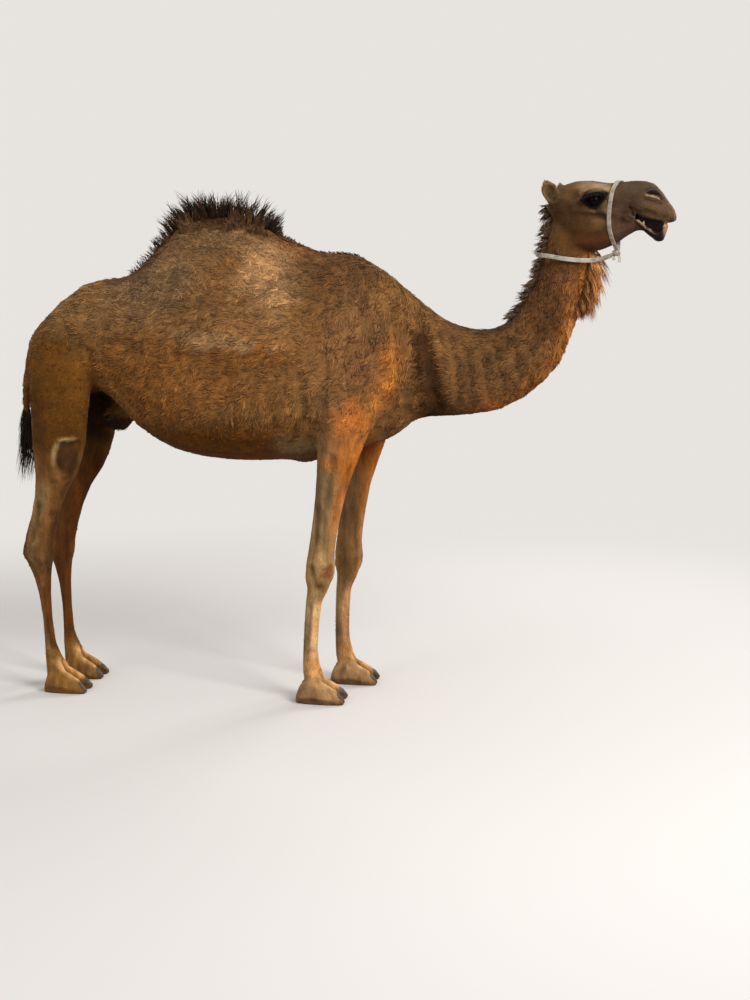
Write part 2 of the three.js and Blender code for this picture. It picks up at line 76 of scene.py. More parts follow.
def new_look(name):
    """A new material, with its nodes, its links and its shader."""
    look = bpy.data.materials.new(name)
    look.use_nodes = True
    nodes, links = look.node_tree.nodes, look.node_tree.links
    return look, nodes, links, nodes["Principled BSDF"]


def plain_material(name, colour, roughness):
    look, nodes, links, shader = new_look(name)
    shader.inputs["Base Color"].default_value = (*colour, 1)
    shader.inputs["Roughness"].default_value = roughness
    return look, nodes, links, shader


def floor_paint():
    """Pale paint that keeps the shadows near the feet and meets the backdrop far away."""
    look, nodes, links, shader = plain_material("floor_paint", (0.78, 0.75, 0.72), 0.9)
    shader.inputs["Specular IOR Level"].default_value = 0.1
    path = nodes.new("ShaderNodeLightPath")
    tint = nodes.new("ShaderNodeMix")
    tint.data_type = "RGBA"
    tint.inputs["A"].default_value = (0.30, 0.26, 0.22, 1)
    tint.inputs["B"].default_value = (0.78, 0.75, 0.72, 1)
    links.new(path.outputs["Is Camera Ray"], tint.inputs["Factor"])
    links.new(tint.outputs["Result"], shader.inputs["Base Color"])
    place = nodes.new("ShaderNodeTexCoord")
    far = nodes.new("ShaderNodeVectorMath")
    far.operation = "LENGTH"
    links.new(place.outputs["Object"], far.inputs[0])
    fade = nodes.new("ShaderNodeMapRange")
    fade.interpolation_type = "SMOOTHSTEP"
    fade.inputs["From Min"].default_value = 1.7
    fade.inputs["From Max"].default_value = 4.6
    links.new(far.outputs["Value"], fade.inputs["Value"])
    seen = nodes.new("ShaderNodeMath")
    seen.operation = "MULTIPLY"
    links.new(fade.outputs["Result"], seen.inputs[0])
    links.new(path.outputs["Is Camera Ray"], seen.inputs[1])
    backdrop = nodes.new("ShaderNodeEmission")
    backdrop.inputs["Color"].default_value = (0.80, 0.77, 0.74, 1)
    pick = nodes.new("ShaderNodeMixShader")
    links.new(seen.outputs[0], pick.inputs["Fac"])
    links.new(shader.outputs["BSDF"], pick.inputs[1])
    links.new(backdrop.outputs["Emission"], pick.inputs[2])
    links.new(pick.outputs["Shader"], nodes["Material Output"].inputs["Surface"])
    return look


def make_stage():
    bpy.ops.mesh.primitive_plane_add(size=120, location=(0, 0, 0))
    floor = bpy.context.object
    floor.name = "floor"
    floor.data.materials.append(floor_paint())

    room = bpy.data.worlds.new("room")
    room.use_nodes = True
    nodes, links = room.node_tree.nodes, room.node_tree.links
    light = nodes["Background"]
    light.inputs["Color"].default_value = (1, 0.98, 0.95, 1)
    light.inputs["Strength"].default_value = 0.52
    seen = nodes.new("ShaderNodeBackground")
    seen.inputs["Color"].default_value = (0.80, 0.77, 0.74, 1)
    seen.inputs["Strength"].default_value = 1.0
    path = nodes.new("ShaderNodeLightPath")
    pick = nodes.new("ShaderNodeMixShader")
    links.new(path.outputs["Is Camera Ray"], pick.inputs["Fac"])
    links.new(light.outputs["Background"], pick.inputs[1])
    links.new(seen.outputs["Background"], pick.inputs[2])
    links.new(pick.outputs["Shader"], nodes["World Output"].inputs["Surface"])
    bpy.context.scene.world = room
    bpy.context.scene.view_settings.view_transform = "Standard"

    soft_lamp("key", (4400, -3400, 4200), (600, 0, 1200), 2.4, 250)
    soft_lamp("fill", (-3200, -4200, 2800), (300, 0, 1100), 3.0, 55)
    soft_lamp("rim", (2600, 4200, 3600), (700, 0, 1300), 2.0, 110)

    bpy.ops.object.camera_add(location=metres(1380, -5927, 1650))
    camera = bpy.context.object
    camera.name = "camera"
    gaze = Vector((-0.1120, 0.9834, -0.1425))
    camera.rotation_euler = gaze.to_track_quat("-Z", "Y").to_euler()
    camera.data.sensor_fit = "VERTICAL"
    camera.data.sensor_height = 24
    camera.data.lens = 36
    bpy.context.scene.camera = camera


make_stage()


# ---- The skin ----
# One unbroken hide covers trunk, neck, head, ears, legs and tail, with no seam. It is the
# joined solids drawn in by the depth of the coat, then worked over like clay: folds,
# tendons, muscles, lids, nostrils and lips.

SIDES = (-1, 1)
FLESH = [
    "trunk", "hump", "neck_lower", "neck_upper", "head", "lower_jaw", "ear_right",
    "ear_left", "tail",
    *[f"fore_leg_{side}_{part}" for side in ("right", "left")
      for part in ("upper", "lower", "foot")],
    *[f"hind_leg_{side}_{part}" for side in ("right", "left")
      for part in ("thigh", "shank", "lower", "foot")],
]
CLAY_GRAIN = 0.0045       # the voxel that the joined solids are cast at
OVERLAP = 0.0007          # closes the thin cuts between the solids
SOFTEST = 36.0            # mm over which the trunk's facets are smoothed away
HEAD_PLACE = Vector((1440, 0, 1960))
HEAD_TURN = math.radians(-18)


def take_up(piece):
    """Selects this piece alone and makes it the active one."""
    bpy.ops.object.select_all(action="DESELECT")
    piece.select_set(True)
    bpy.context.view_layer.objects.active = piece


def apply_all(piece):
    take_up(piece)
    for modifier in list(piece.modifiers):
        bpy.ops.object.modifier_apply(modifier=modifier.name)


def cast_of(names, name):
    """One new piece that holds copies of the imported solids, with their doubles merged."""
    bpy.ops.object.select_all(action="DESELECT")
    for node in names:
        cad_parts[node].select_set(True)
    bpy.context.view_layer.objects.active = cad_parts[names[0]]
    bpy.ops.object.duplicate()
    if len(names) > 1:
        bpy.ops.object.join()
    piece = bpy.context.object
    piece.name = piece.data.name = name
    piece.parent = None
    piece.matrix_world = Matrix.Identity(4)
    for key in list(piece.keys()):
        del piece[key]
    piece.data.materials.clear()
    bpy.ops.object.mode_set(mode="EDIT")
    bpy.ops.mesh.select_all(action="SELECT")
    bpy.ops.mesh.remove_doubles(threshold=0.00005)
    bpy.ops.object.mode_set(mode="OBJECT")
    return piece


def read(piece):
    """The piece's points as rows, measured on the animal in millimetres."""
    flat = np.empty(len(piece.data.vertices) * 3, np.float32)
    piece.data.vertices.foreach_get("co", flat)
    return (flat.reshape(-1, 3).astype(float) - np.array(ORIGIN)) * 1000


def write(piece, points):
    flat = (points / 1000 + np.array(ORIGIN)).astype(np.float32).ravel()
    piece.data.vertices.foreach_set("co", flat)
    piece.data.update()


def outwards(piece):
    flat = np.empty(len(piece.data.vertices) * 3, np.float32)
    piece.data.vertex_normals.foreach_get("vector", flat)
    return flat.reshape(-1, 3).astype(float)


def to_head(points):
    """Places on the animal as the head sees them: forward, left and up from its own origin."""
    moved = points - np.array(HEAD_PLACE)
    c, s = math.cos(HEAD_TURN), math.sin(HEAD_TURN)
    return np.stack([moved[:, 0] * c + moved[:, 1] * s, moved[:, 1] * c - moved[:, 0] * s,
                     moved[:, 2]], 1)


def from_head(points):
    points = np.atleast_2d(np.array(points, float))
    c, s = math.cos(HEAD_TURN), math.sin(HEAD_TURN)
    return np.stack([points[:, 0] * c - points[:, 1] * s, points[:, 0] * s + points[:, 1] * c,
                     points[:, 2]], 1) + np.array(HEAD_PLACE)


def ramp(value, start, end):
    """0 before start, 1 after end, smooth between."""
    t = np.clip((value - start) / (end - start), 0, 1)
    return t * t * (3 - 2 * t)


def toward(value, goal, share):
    return value + (goal - value) * share


def head_share(p):
    return ramp(p[:, 2], 1745, 1800) * ramp(p[:, 0] + 0.35 * (p[:, 2] - 1850), 1372, 1425)


def softness(p):
    """How far, in mm, the facets are smoothed at each place."""
    h = to_head(p)
    soft = np.full(len(p), SOFTEST)
    soft = toward(soft, 24, ramp(p[:, 0], 1000, 1300))
    soft = toward(soft, 20, ramp(-p[:, 2], -1130, -980))
    soft = toward(soft, 12.5, ramp(-p[:, 2], -900, -700))
    soft = toward(soft, 7, ramp(-p[:, 2], -170, -110))
    soft = toward(soft, 8, head_share(p))
    ear = ramp(-h[:, 0], -6, 14) * ramp(h[:, 2], -5, 18) * ramp(np.abs(h[:, 1]), 52, 66)
    soft = toward(soft, 4.5, ear)
    tail = ramp(-p[:, 0], 690, 712) * ramp(-p[:, 2], -1390, -1330) * ramp(p[:, 2], 900, 1000)
    return toward(soft, 5, tail)


def smooth_facets(piece, rounds):
    share = (softness(read(piece)) / SOFTEST) ** 2
    group = piece.vertex_groups.new(name="soft")
    steps = np.clip(np.ceil(share * 40).astype(int), 1, 40)
    for step in np.unique(steps):
        group.add(np.flatnonzero(steps == step).tolist(), step / 40, "REPLACE")
    easing = piece.modifiers.new("soft", "SMOOTH")
    easing.factor = 0.5
    easing.iterations = rounds
    easing.vertex_group = "soft"
    apply_all(piece)
    piece.vertex_groups.clear()


skin = cast_of(FLESH, "skin")


def add_flesh(place, size):
    """Presses a ball of flesh into the cast, at a place on the head, in mm."""
    bpy.ops.mesh.primitive_uv_sphere_add(segments=16, ring_count=10, radius=size / 1000,
                                         location=metres(*from_head([place])[0]))
    bpy.ops.object.transform_apply(location=True)
    skin.select_set(True)
    bpy.context.view_layer.objects.active = skin
    bpy.ops.object.join()


# The cheeks close the mouth behind its corners, and the lower lip has a rolled rim.
jaw = to_head(read(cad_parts["lower_jaw"]))
for side in SIDES:
    for s, out, up, size in [(258, 33, -66, 14), (269, 34, -64, 14), (279, 36, -58, 12)]:
        add_flesh((s, side * out, up), size)
    for s, up in [(300, -72), (310, -82), (320, -91), (331, -99), (343, -107), (355, -113),
                  (367, -117), (378, -115), (386, -108)]:
        near = (np.abs(jaw[:, 0] - s) < 9) & (np.abs(jaw[:, 2] - up) < 9)
        out = np.abs(jaw[near, 1]).max() if near.any() else 26
        add_flesh((s, side * (out - 8), up), 7)
for out in (-20, -10, 0, 10, 20):
    for up in (-104, -92):
        near = (np.abs(jaw[:, 1] - out) < 7) & (np.abs(jaw[:, 2] - up) < 9)
        s = jaw[near, 0].max() if near.any() else 400
        add_flesh((s - 8, out, up), 7)
swell = skin.modifiers.new("overlap", "DISPLACE")
swell.mid_level = 0
swell.strength = OVERLAP
cast = skin.modifiers.new("cast", "REMESH")
cast.mode = "VOXEL"
cast.voxel_size = CLAY_GRAIN
apply_all(skin)
smooth_facets(skin, round(2 * (SOFTEST / (CLAY_GRAIN * 1000)) ** 2))


# The hide is worked with three strokes: a stroke along a path, a mound, and a hollow (a
# mound of negative height). Each moves points along their own outward direction.
clay = read(skin)
facing = outwards(skin)


def both(places, sides=SIDES):
    """Places on the animal's left, and their mirror images on its right."""
    return [[(x, side * y, z) for x, y, z in places] for side in sides]


def head_sides(places, sides=SIDES):
    return [from_head([(x, side * y, z) for x, y, z in places]) for side in sides]


def rounded(path, steps=6):
    """A path's corners, rounded into a smooth line through the same places."""
    path = np.array(path, float)
    if len(path) < 3:
        return path
    ends = np.vstack([2 * path[0] - path[1], path, 2 * path[-1] - path[-2]])
    line = []
    for i in range(1, len(ends) - 2):
        a, b, c, d = ends[i - 1:i + 3]
        for t in np.arange(steps) / steps:
            line.append(0.5 * (2 * b + (c - a) * t + (2 * a - 5 * b + 4 * c - d) * t * t
                               + (3 * b - a - 3 * c + d) * t ** 3))
    return np.array(line + [path[-1]])


def distance_to(path, points):
    """How far each point lies from a path, and how far along it, from 0 to 1."""
    lengths = np.linalg.norm(np.diff(path, axis=0), axis=1)
    reach = np.concatenate([[0], np.cumsum(lengths)]) / max(lengths.sum(), 1e-9)
    best = np.full(len(points), np.inf)
    along = np.zeros(len(points))
    for i in range(len(path) - 1):
        a, span = path[i], path[i + 1] - path[i]
        t = np.clip((points - a) @ span / max(span @ span, 1e-9), 0, 1)
        gap = np.linalg.norm(points - a - t[:, None] * span, axis=1)
        closer = gap < best
        best[closer] = gap[closer]
        along[closer] = (reach[i] + t * (reach[i + 1] - reach[i]))[closer]
    return best, along


def laid_on(path):
    """A path with each place moved to the nearest place on the hide that isn't far from it."""
    far = 36
    low, high = path.min(0) - far, path.max(0) + far
    local = clay[((clay > low) & (clay < high)).all(1)]
    if not len(local):
        return path
    gaps = [((local - place) ** 2).sum(1) for place in path]
    return np.array([local[gap.argmin()] if gap.min() < far ** 2 else place
                     for gap, place in zip(gaps, path)])


def stroke(paths, width, height, fade=0.15, sharp=1.0):
    """Raises a ridge along each path, or cuts a groove where the height is negative."""
    for path in paths:
        path = laid_on(rounded(path))
        low, high = path.min(0) - width, path.max(0) + width
        near = np.flatnonzero(((clay > low) & (clay < high)).all(1))
        gap, along = distance_to(path, clay[near])
        shape = np.clip(1 - (gap / width) ** 2, 0, 1) ** (1.5 * sharp)
        if fade:
            shape *= ramp(along, 0, fade) * ramp(1 - along, 0, fade)
        clay[near] += facing[near] * (height * shape)[:, None]


def mound(places, size, height):
    """Raises a soft mound of three half sizes about each place, or sinks a hollow."""
    for place in places:
        away = (clay - np.array(place)) / np.array(size)
        gap = (away ** 2).sum(1)
        near = np.flatnonzero(gap < 1)
        clay[near] += facing[near] * (height * (1 - gap[near]) ** 2)[:, None]


def head_mound(places, size, height, sides=SIDES):
    """A mound on the head, its half sizes turned with the head."""
    h = to_head(clay)
    for place in places:
        for side in sides:
            away = (h - np.array([place[0], side * place[1], place[2]])) / np.array(size)
            gap = (away ** 2).sum(1)
            near = np.flatnonzero(gap < 1)
            clay[near] += facing[near] * (height * (1 - gap[near]) ** 2)[:, None]


def pull(place, size, move):
    """Draws the hide about a place on the head by so many millimetres."""
    away = (to_head(clay) - np.array(place)) / np.array(size)
    share = np.clip(1 - (away ** 2).sum(1), 0, 1) ** 1.5
    clay[:] += share[:, None] * (from_head([move]) - from_head([(0, 0, 0)]))


def soften(place, size, rounds):
    """Smooths the whole hide so many rounds; the points about a place on the head are grouped, but
    the smoothing does not keep to them.
    """
    away = (to_head(clay) - np.array(place)) / np.array(size)
    chosen = np.flatnonzero((away ** 2).sum(1) < 1)
    group = skin.vertex_groups.new(name="near")
    group.add(chosen.tolist(), 1.0, "REPLACE")
    settle(rounds, 0.5, "near")
    skin.vertex_groups.clear()


def settle(rounds=1, factor=0.35, group=""):
    """Lets the strokes so far settle into the hide, and reads its directions again."""
    global clay, facing
    write(skin, clay)
    easing = skin.modifiers.new("settle", "SMOOTH")
    easing.factor = factor
    easing.iterations = rounds
    apply_all(skin)
    clay = read(skin)
    facing = outwards(skin)


def refine(chosen):
    """Gives the hide half the grain over the chosen points, where small forms are cut."""
    global clay, facing
    write(skin, clay)
    corners = np.empty(len(skin.data.loops), np.int32)
    skin.data.loops.foreach_get("vertex_index", corners)
    starts = np.empty(len(skin.data.polygons), np.int32)
    skin.data.polygons.foreach_get("loop_start", starts)
    skin.data.polygons.foreach_set("select", chosen[corners[starts]])
    bpy.context.tool_settings.mesh_select_mode = (False, False, True)
    bpy.ops.object.mode_set(mode="EDIT")
    bpy.ops.mesh.subdivide(number_cuts=1)
    bpy.ops.object.mode_set(mode="OBJECT")
    clay = read(skin)
    facing = outwards(skin)


def about(p, place, size):
    """Which points lie about a place on either side of the head."""
    h = to_head(p)
    h[:, 1] = np.abs(h[:, 1])
    return (((h - np.array(place)) / np.array(size)) ** 2).sum(1) < 1


def on_muzzle(p):
    return (head_share(p) > 0.5) & (to_head(p)[:, 0] > 256)


def at_eye_or_nostril(p):
    return about(p, (145, 90, 4), (54, 40, 44)) | about(p, (356, 50, 20), (56, 26, 28))


def form_trunk_and_neck():
    # Shoulder blade, its front edge, the upper arm's muscles and the point of the shoulder.
    mound(both([(640, 200, 1420)]), (150, 120, 230), 9)
    stroke(both([(700, 120, 1640), (748, 175, 1520), (786, 172, 1400), (796, 178, 1290),
                 (765, 196, 1200)]), 62, 13)
    stroke(both([(835, 140, 1520), (856, 150, 1380), (862, 150, 1270), (850, 125, 1170)]), 60, -15)
    stroke(both([(560, 205, 1560), (590, 225, 1440), (600, 240, 1330)]), 46, 5)
    mound(both([(570, 245, 1240)]), (110, 80, 130), 10)
    mound(both([(505, 245, 1150)]), (46, 60, 70), 9)
    # The edge of the upper arm behind the elbow, and the loose folds in front of the brisket.
    stroke(both([(452, 252, 1330), (450, 255, 1235), (455, 246, 1160), (452, 236, 1096)]),
           24, -13)
    stroke(both([(478, 245, 1290), (474, 250, 1190), (482, 240, 1120)]), 20, 5)
    stroke(both([(462, 232, 1128), (490, 234, 1112), (520, 236, 1108)]), 9, -5)
    stroke(both([(468, 222, 1102), (498, 226, 1088), (530, 230, 1084)]), 9, -5)
    stroke(both([(742, 160, 1085), (700, 186, 1070), (664, 205, 1038), (640, 210, 992)]),
           16, -9)
    stroke(both([(762, 130, 1100), (724, 168, 1098), (690, 196, 1080)]), 12, 5)
    stroke(both([(800, 118, 1190), (792, 130, 1140), (768, 130, 1100)]), 14, -6)
    # The fold where the neck leaves the chest.
    stroke(both([(885, 90, 1560), (915, 112, 1440), (935, 118, 1320), (955, 96, 1215),
                 (975, 40, 1150)]), 40, -11)
    stroke(both([(985, 66, 1150), (960, 96, 1200), (940, 110, 1260)]), 15, -7)
    stroke(both([(1020, 60, 1165), (1000, 84, 1215), (990, 92, 1270)]), 12, -5)
    # Shallow upright wrinkles round the neck's low curve and up its front length.
    for nape, throat, depth in [
        ((1000, 1490), (1046, 1165), -4), ((1052, 1470), (1096, 1172), -3.4),
        ((1104, 1460), (1160, 1190), -3.6), ((1158, 1466), (1222, 1216), -3),
        ((1205, 1482), (1292, 1256), -3.2), ((1240, 1506), (1350, 1312), -3),
        ((1268, 1545), (1404, 1372), -3), ((1300, 1600), (1442, 1448), -2.6),
    ]:
        mid = ((nape[0] + throat[0]) / 2 + 10, 92, (nape[1] + throat[1]) / 2)
        stroke(both([(nape[0], 60, nape[1]), mid, (throat[0], 55, throat[1])]), 17, depth)
    # The gullet and the neck's long muscle, with the groove of the vein between them.
    stroke(both([(1130, 86, 1260), (1230, 80, 1310), (1330, 74, 1420), (1400, 70, 1540),
                 (1446, 66, 1660)]), 26, -4)
    stroke([[(1090, 0, 1150), (1250, 0, 1195), (1380, 0, 1300), (1460, 0, 1460),
             (1500, 0, 1600)]], 46, 5)
    # Ribs, the hollow flank, the hip bones and the rump's ridge.
    for i in range(7):
        x = -90 + 66 * i
        stroke(both([(x + 50, 255, 1480), (x + 12, 290, 1300), (x - 8, 290, 1130)]), 26, 2.6)
    mound(both([(-300, 200, 1500)]), (130, 110, 130), -9)
    mound(both([(-420, 175, 1590)]), (90, 90, 60), 11)
    mound(both([(-560, 175, 1510)]), (120, 90, 80), 7)
    stroke([[(-300, 0, 1690), (-420, 0, 1668), (-540, 0, 1600), (-640, 0, 1515)]], 60, 5)
    stroke(both([(-500, 190, 1560), (-440, 205, 1470), (-395, 208, 1390)]), 34, 6)
    # The flank's fold of skin, running forward and down from the front of the thigh.
    stroke(both([(-384, 207, 1425), (-366, 205, 1370), (-341, 192, 1290), (-305, 182, 1228),
                 (-243, 180, 1160), (-190, 160, 1096)]), 22, 7)
    stroke(both([(-392, 200, 1408), (-385, 196, 1350), (-370, 180, 1290)]), 16, -9)
    stroke(both([(-300, 205, 1268), (-213, 222, 1190), (-113, 245, 1140), (-40, 240, 1085)]),
           13, 3.2)
    # Belly line, with the milk vein and the hard pad that the animal rests its chest on.
    stroke(both([(-150, 120, 1030), (60, 150, 985), (260, 150, 968)]), 18, 3)
    mound([(425, 0, 942)], (95, 70, 60), 6)


def form_legs():
    lead = {-1: 0, 1: 95}

    def fore(places):
        return [[(x + (lead[side] - 0.04 * z if side > 0 else 0), side * y, z)
                 for x, y, z in places] for side in SIDES]

    def hind(places):
        return [[(x + (0.03 * z if side > 0 else 0), side * y, z) for x, y, z in places]
                for side in SIDES]

    # Fore leg: forearm muscles, tendons, the knee's bones and callus, the cannon, fetlock.
    stroke(fore([(606, 222, 1040), (588, 216, 900), (562, 204, 770)]), 30, 7)
    stroke(fore([(528, 232, 1020), (520, 222, 900), (510, 206, 760)]), 30, 6)
    stroke(fore([(566, 232, 1010), (553, 222, 900), (540, 204, 770)]), 16, -10)
    stroke(fore([(500, 196, 800), (494, 196, 700), (487, 192, 625)]), 12, -10)
    stroke(fore([(478, 188, 800), (472, 186, 700), (462, 180, 610)]), 10, 5)
    mound(fore([(520, 205, 560)]), (48, 30, 60), 10)
    mound(fore([(560, 165, 520)]), (26, 46, 60), 6)
    mound(fore([(540, 200, 470)]), (34, 26, 34), 6)
    mound(fore([(452, 160, 500)]), (26, 36, 44), 7)
    stroke(fore([(470, 196, 560), (482, 200, 500), (500, 196, 448)]), 13, -10)
    stroke(fore([(498, 206, 590), (530, 204, 600), (556, 190, 590)]), 12, 4)
    stroke(fore([(500, 199, 470), (522, 202, 444), (548, 190, 446)]), 8, -5)
    stroke(fore([(464, 182, 410), (459, 182, 300), (457, 184, 215)]), 11, -9)
    stroke(fore([(490, 183, 410), (486, 182, 300), (484, 184, 220)]), 20, 3)
    mound(fore([(452, 188, 186)]), (28, 24, 30), 6)
    mound(fore([(446, 122, 180)]), (28, 24, 30), 5)
    stroke(fore([(446, 192, 158), (472, 196, 168), (500, 190, 160)]), 9, -4)

    # Hind leg: the gaskin's muscle, the callus on the stifle, the hock and its long tendon.
    mound(hind([(-560, 222, 1160)]), (90, 50, 190), 8)
    stroke(hind([(-506, 226, 1310), (-510, 229, 1240), (-512, 228, 1180)]), 7, 3)
    mound(hind([(-600, 200, 800)]), (50, 40, 130), 8)
    mound(hind([(-530, 196, 780)]), (34, 34, 90), 5)
    stroke(hind([(-560, 200, 880), (-566, 188, 800), (-588, 164, 700)]), 15, -11)
    stroke(hind([(-664, 140, 800), (-684, 128, 700), (-704, 118, 620)]), 12, 6)
    stroke(hind([(-640, 158, 790), (-664, 150, 690), (-684, 146, 600)]), 18, -18)
    mound(hind([(-712, 116, 566)]), (26, 34, 40), 6)
    mound(hind([(-640, 152, 560)]), (40, 26, 44), 7)
    mound(hind([(-600, 120, 540)]), (26, 40, 50), 5)
    stroke(hind([(-622, 156, 600), (-610, 154, 560), (-616, 150, 510)]), 9, -5)
    stroke(hind([(-688, 146, 540), (-676, 146, 490), (-660, 142, 430)]), 13, -11)
    stroke(hind([(-648, 140, 450), (-640, 138, 330), (-632, 140, 220)]), 11, -9)
    stroke(hind([(-616, 134, 440), (-612, 134, 330), (-606, 138, 220)]), 9, 4)
    mound(hind([(-630, 146, 176)]), (26, 22, 28), 5)
    stroke(hind([(-640, 152, 140), (-610, 160, 148), (-580, 154, 142)]), 8, -4)
    callus = [(-545, 208, 950), (-530, 212, 1005), (-505, 214, 1020), (-470, 206, 1022),
              (-440, 196, 1024), (-436, 194, 985), (-462, 200, 925), (-488, 196, 875),
              (-516, 192, 872), (-538, 200, 905), (-545, 208, 950)]
    stroke(hind([(x, y - 2, z) for x, y, z in callus]), 10, -9, fade=0)
    stroke(hind([(-560, 212, 990), (-530, 214, 1036), (-492, 214, 1040), (-448, 198, 1048)]),
           11, 6)
    mound(hind([(-492, 208, 950)]), (52, 34, 72), 5)
    stroke(hind([(-510, 212, 985), (-488, 212, 955), (-462, 206, 962)]), 6, -4)
    stroke(hind([(-528, 208, 930), (-505, 206, 905), (-480, 204, 915)]), 6, -4)

    # Feet: two ridged toes parted by a cleft, over one broad soft pad with a raised edge.
    for side in SIDES:
        for x, y, length, half in [(507 + (95 if side > 0 else 0), 156, 200, 85),
                                   (-551, 117, 182, 74)]:
            y *= side
            tip, ridge = x + length / 2, 0.22 * 2 * half
            stroke([[(x - 20, y, 128), (x + 15, y, 92), (tip - 40, y, 52), (tip + 4, y, 16)]],
                   19, -18, fade=0.08)
            for toe in (-1, 1):
                stroke([[(x - 45, y + toe * 22, 120), (x, y + toe * (ridge - 6), 92),
                         (tip - 44, y + toe * ridge, 58), (tip - 22, y + toe * ridge, 50)]],
                       20, 8)
                stroke([[(tip - 30, y + toe * (ridge + 26), 40), (tip - 24, y + toe * ridge, 58),
                         (tip - 30, y + toe * (ridge - 20), 42)]], 11, 6, fade=0.05)
                edge = [(x - 96 * length / 200, y + toe * 20, 16),
                        (x - 70, y + toe * half * 0.7, 17), (x, y + toe * half * 0.93, 17),
                        (x + 60, y + toe * half * 0.9, 15), (tip - 6, y + toe * half * 0.75, 12)]
                stroke([edge], 10, -3.5)


def form_head():
    # Skull: cheek muscle, cheek bone, temple, brow, and the long flat of the nose.
    head_mound([(92, 88, -92)], (72, 40, 68), 6)
    stroke(head_sides([(40, 82, -22), (100, 92, -34), (160, 82, -44), (214, 62, -44)]), 17, 5)
    stroke(head_sides([(120, 84, -52), (170, 74, -62), (226, 54, -66)]), 15, -4)
    head_mound([(58, 80, 28)], (46, 34, 30), -6)
    head_mound([(214, 52, 6)], (50, 30, 40), -5)
    head_mound([(150, 0, 88)], (90, 26, 30), 3)
    head_mound([(290, 52, 34)], (60, 30, 34), 4)
    # Brow arc and the hollow above it.
    stroke(head_sides([(92, 90, 22), (108, 90, 42), (134, 84, 53), (166, 74, 52),
                       (190, 66, 36)]), 13, 5.5)
    stroke(head_sides([(84, 84, 44), (104, 82, 60), (136, 74, 68)]), 12, -3)
    # Lids: the heavy upper one overhangs the eye, the lower one is thin, and both meet in
    # corners drawn out to the front and back.
    upper = [(96, 94, -2), (108, 99, 10), (124, 103, 20), (146, 103, 27), (168, 96, 27),
             (188, 82, 22)]
    lower = [(96, 94, -2), (114, 99, -16), (136, 100, -24), (156, 96, -20), (174, 88, -4),
             (188, 80, 18)]
    head_mound([(143, 84, 3)], (50, 34, 34), 5)
    stroke(head_sides(upper), 11, 11, fade=0.05)
    stroke(head_sides([(s, y + 3, z + 2) for s, y, z in upper]), 5, 3, fade=0.08)
    stroke(head_sides([(s - 1, y - 5, z + 13) for s, y, z in upper]), 7, -5, fade=0.1)
    stroke(head_sides([(s - 2, y - 8, z + 21) for s, y, z in upper]), 6, 2.5, fade=0.1)
    stroke(head_sides(lower), 8, 6.5, fade=0.05)
    stroke(head_sides([(s, y - 3, z - 11) for s, y, z in lower[1:]]), 7, -4, fade=0.1)
    stroke(head_sides([(s, y - 6, z - 20) for s, y, z in lower[1:]]), 6, 1.8, fade=0.1)
    stroke(head_sides([(184, 76, 6), (194, 66, -12), (198, 62, -34)]), 7, -4)
    stroke(head_sides([(96, 92, -14), (84, 92, -24), (66, 90, -30)]), 7, -3)
    # Nostril: a long slit with a dark hollow above and a thick pale rim below.
    slit = [(330, 56, 28), (348, 58, 32), (367, 55, 29), (387, 48, 21), (404, 40, 8)]
    stroke(head_sides([(s, y - 3, z + 12) for s, y, z in slit]), 11, 3, fade=0.2)
    stroke(head_sides([(s, y + 1, z - 9) for s, y, z in slit[:4]]), 8, 4, fade=0.25)
    stroke(head_sides(slit), 7, -14, fade=0.1, sharp=0.7)
    stroke(head_sides([(312, 58, 6), (340, 58, -4), (372, 52, -12), (398, 42, -18)]), 11, -3)
    # Upper lip: split down the middle into two soft lobes, with a rolled lower edge.
    stroke([from_head([(398, 0, 2), (418, 0, -28), (432, 0, -58), (436, 0, -82)])], 13, -12,
           fade=0.1)
    head_mound([(410, 24, -40)], (34, 20, 44), 6)
    stroke(head_sides([(296, 54, -58), (330, 54, -72), (368, 50, -80), (404, 40, -82),
                       (428, 22, -80)]), 10, 3)
    stroke(head_sides([(312, 56, -36), (348, 56, -50), (386, 48, -58)]), 12, -2.5, fade=0.3)
    # Corner of the mouth, with the folds that gather behind it.
    stroke(head_sides([(262, 54, -28), (278, 55, -42), (296, 52, -62)]), 9, -6)
    stroke(head_sides([(246, 52, -44), (262, 52, -60), (284, 48, -78)]), 7, -3)
    stroke(head_sides([(268, 54, -18), (290, 55, -30), (312, 55, -42)]), 9, 2, fade=0.3)
    # Lower lip: a pale rolled rim round the open mouth, its front drawn up to the upper lip.
    stroke(head_sides([(296, 37, -66), (312, 35, -82), (338, 33, -104), (366, 31, -121),
                       (388, 25, -116), (402, 16, -101)]), 8, 5)
    stroke(head_sides([(300, 34, -98), (330, 32, -120), (362, 30, -138)]), 8, -3)
    mound([from_head([(374, 0, -146)])[0]], (34, 30, 18), 4)
    soften((402, 0, -94), (22, 46, 30), 12)
    # Ears: broad and rounded, hollow on the side that faces forward and out.
    h = to_head(clay)
    share = ramp(-h[:, 0], -10, 14) * ramp(h[:, 2], 4, 34) * ramp(np.abs(h[:, 1]), 52, 66)
    clay[:] = from_head(h + (h - (-24, 0, 30)) * (0.20, 0, 0.10) * share[:, None])
    head_mound([(-30, 90, 40)], (20, 24, 28), -9)
    head_mound([(-22, 84, 14)], (16, 20, 16), -4)


form_trunk_and_neck()
form_legs()
settle(3)
pull((404, 0, -110), (44, 60, 27), (2, 0, 17))
pull((292, 0, -88), (36, 130, 24), (0, 0, 12))
soften((402, 0, -98), (36, 60, 36), 7)
refine(on_muzzle(clay) | about(clay, (145, 90, 4), (66, 44, 60)))
settle(2, 0.4)
refine(at_eye_or_nostril(clay))
settle(1, 0.3)
form_head()
settle(2, 0.35)

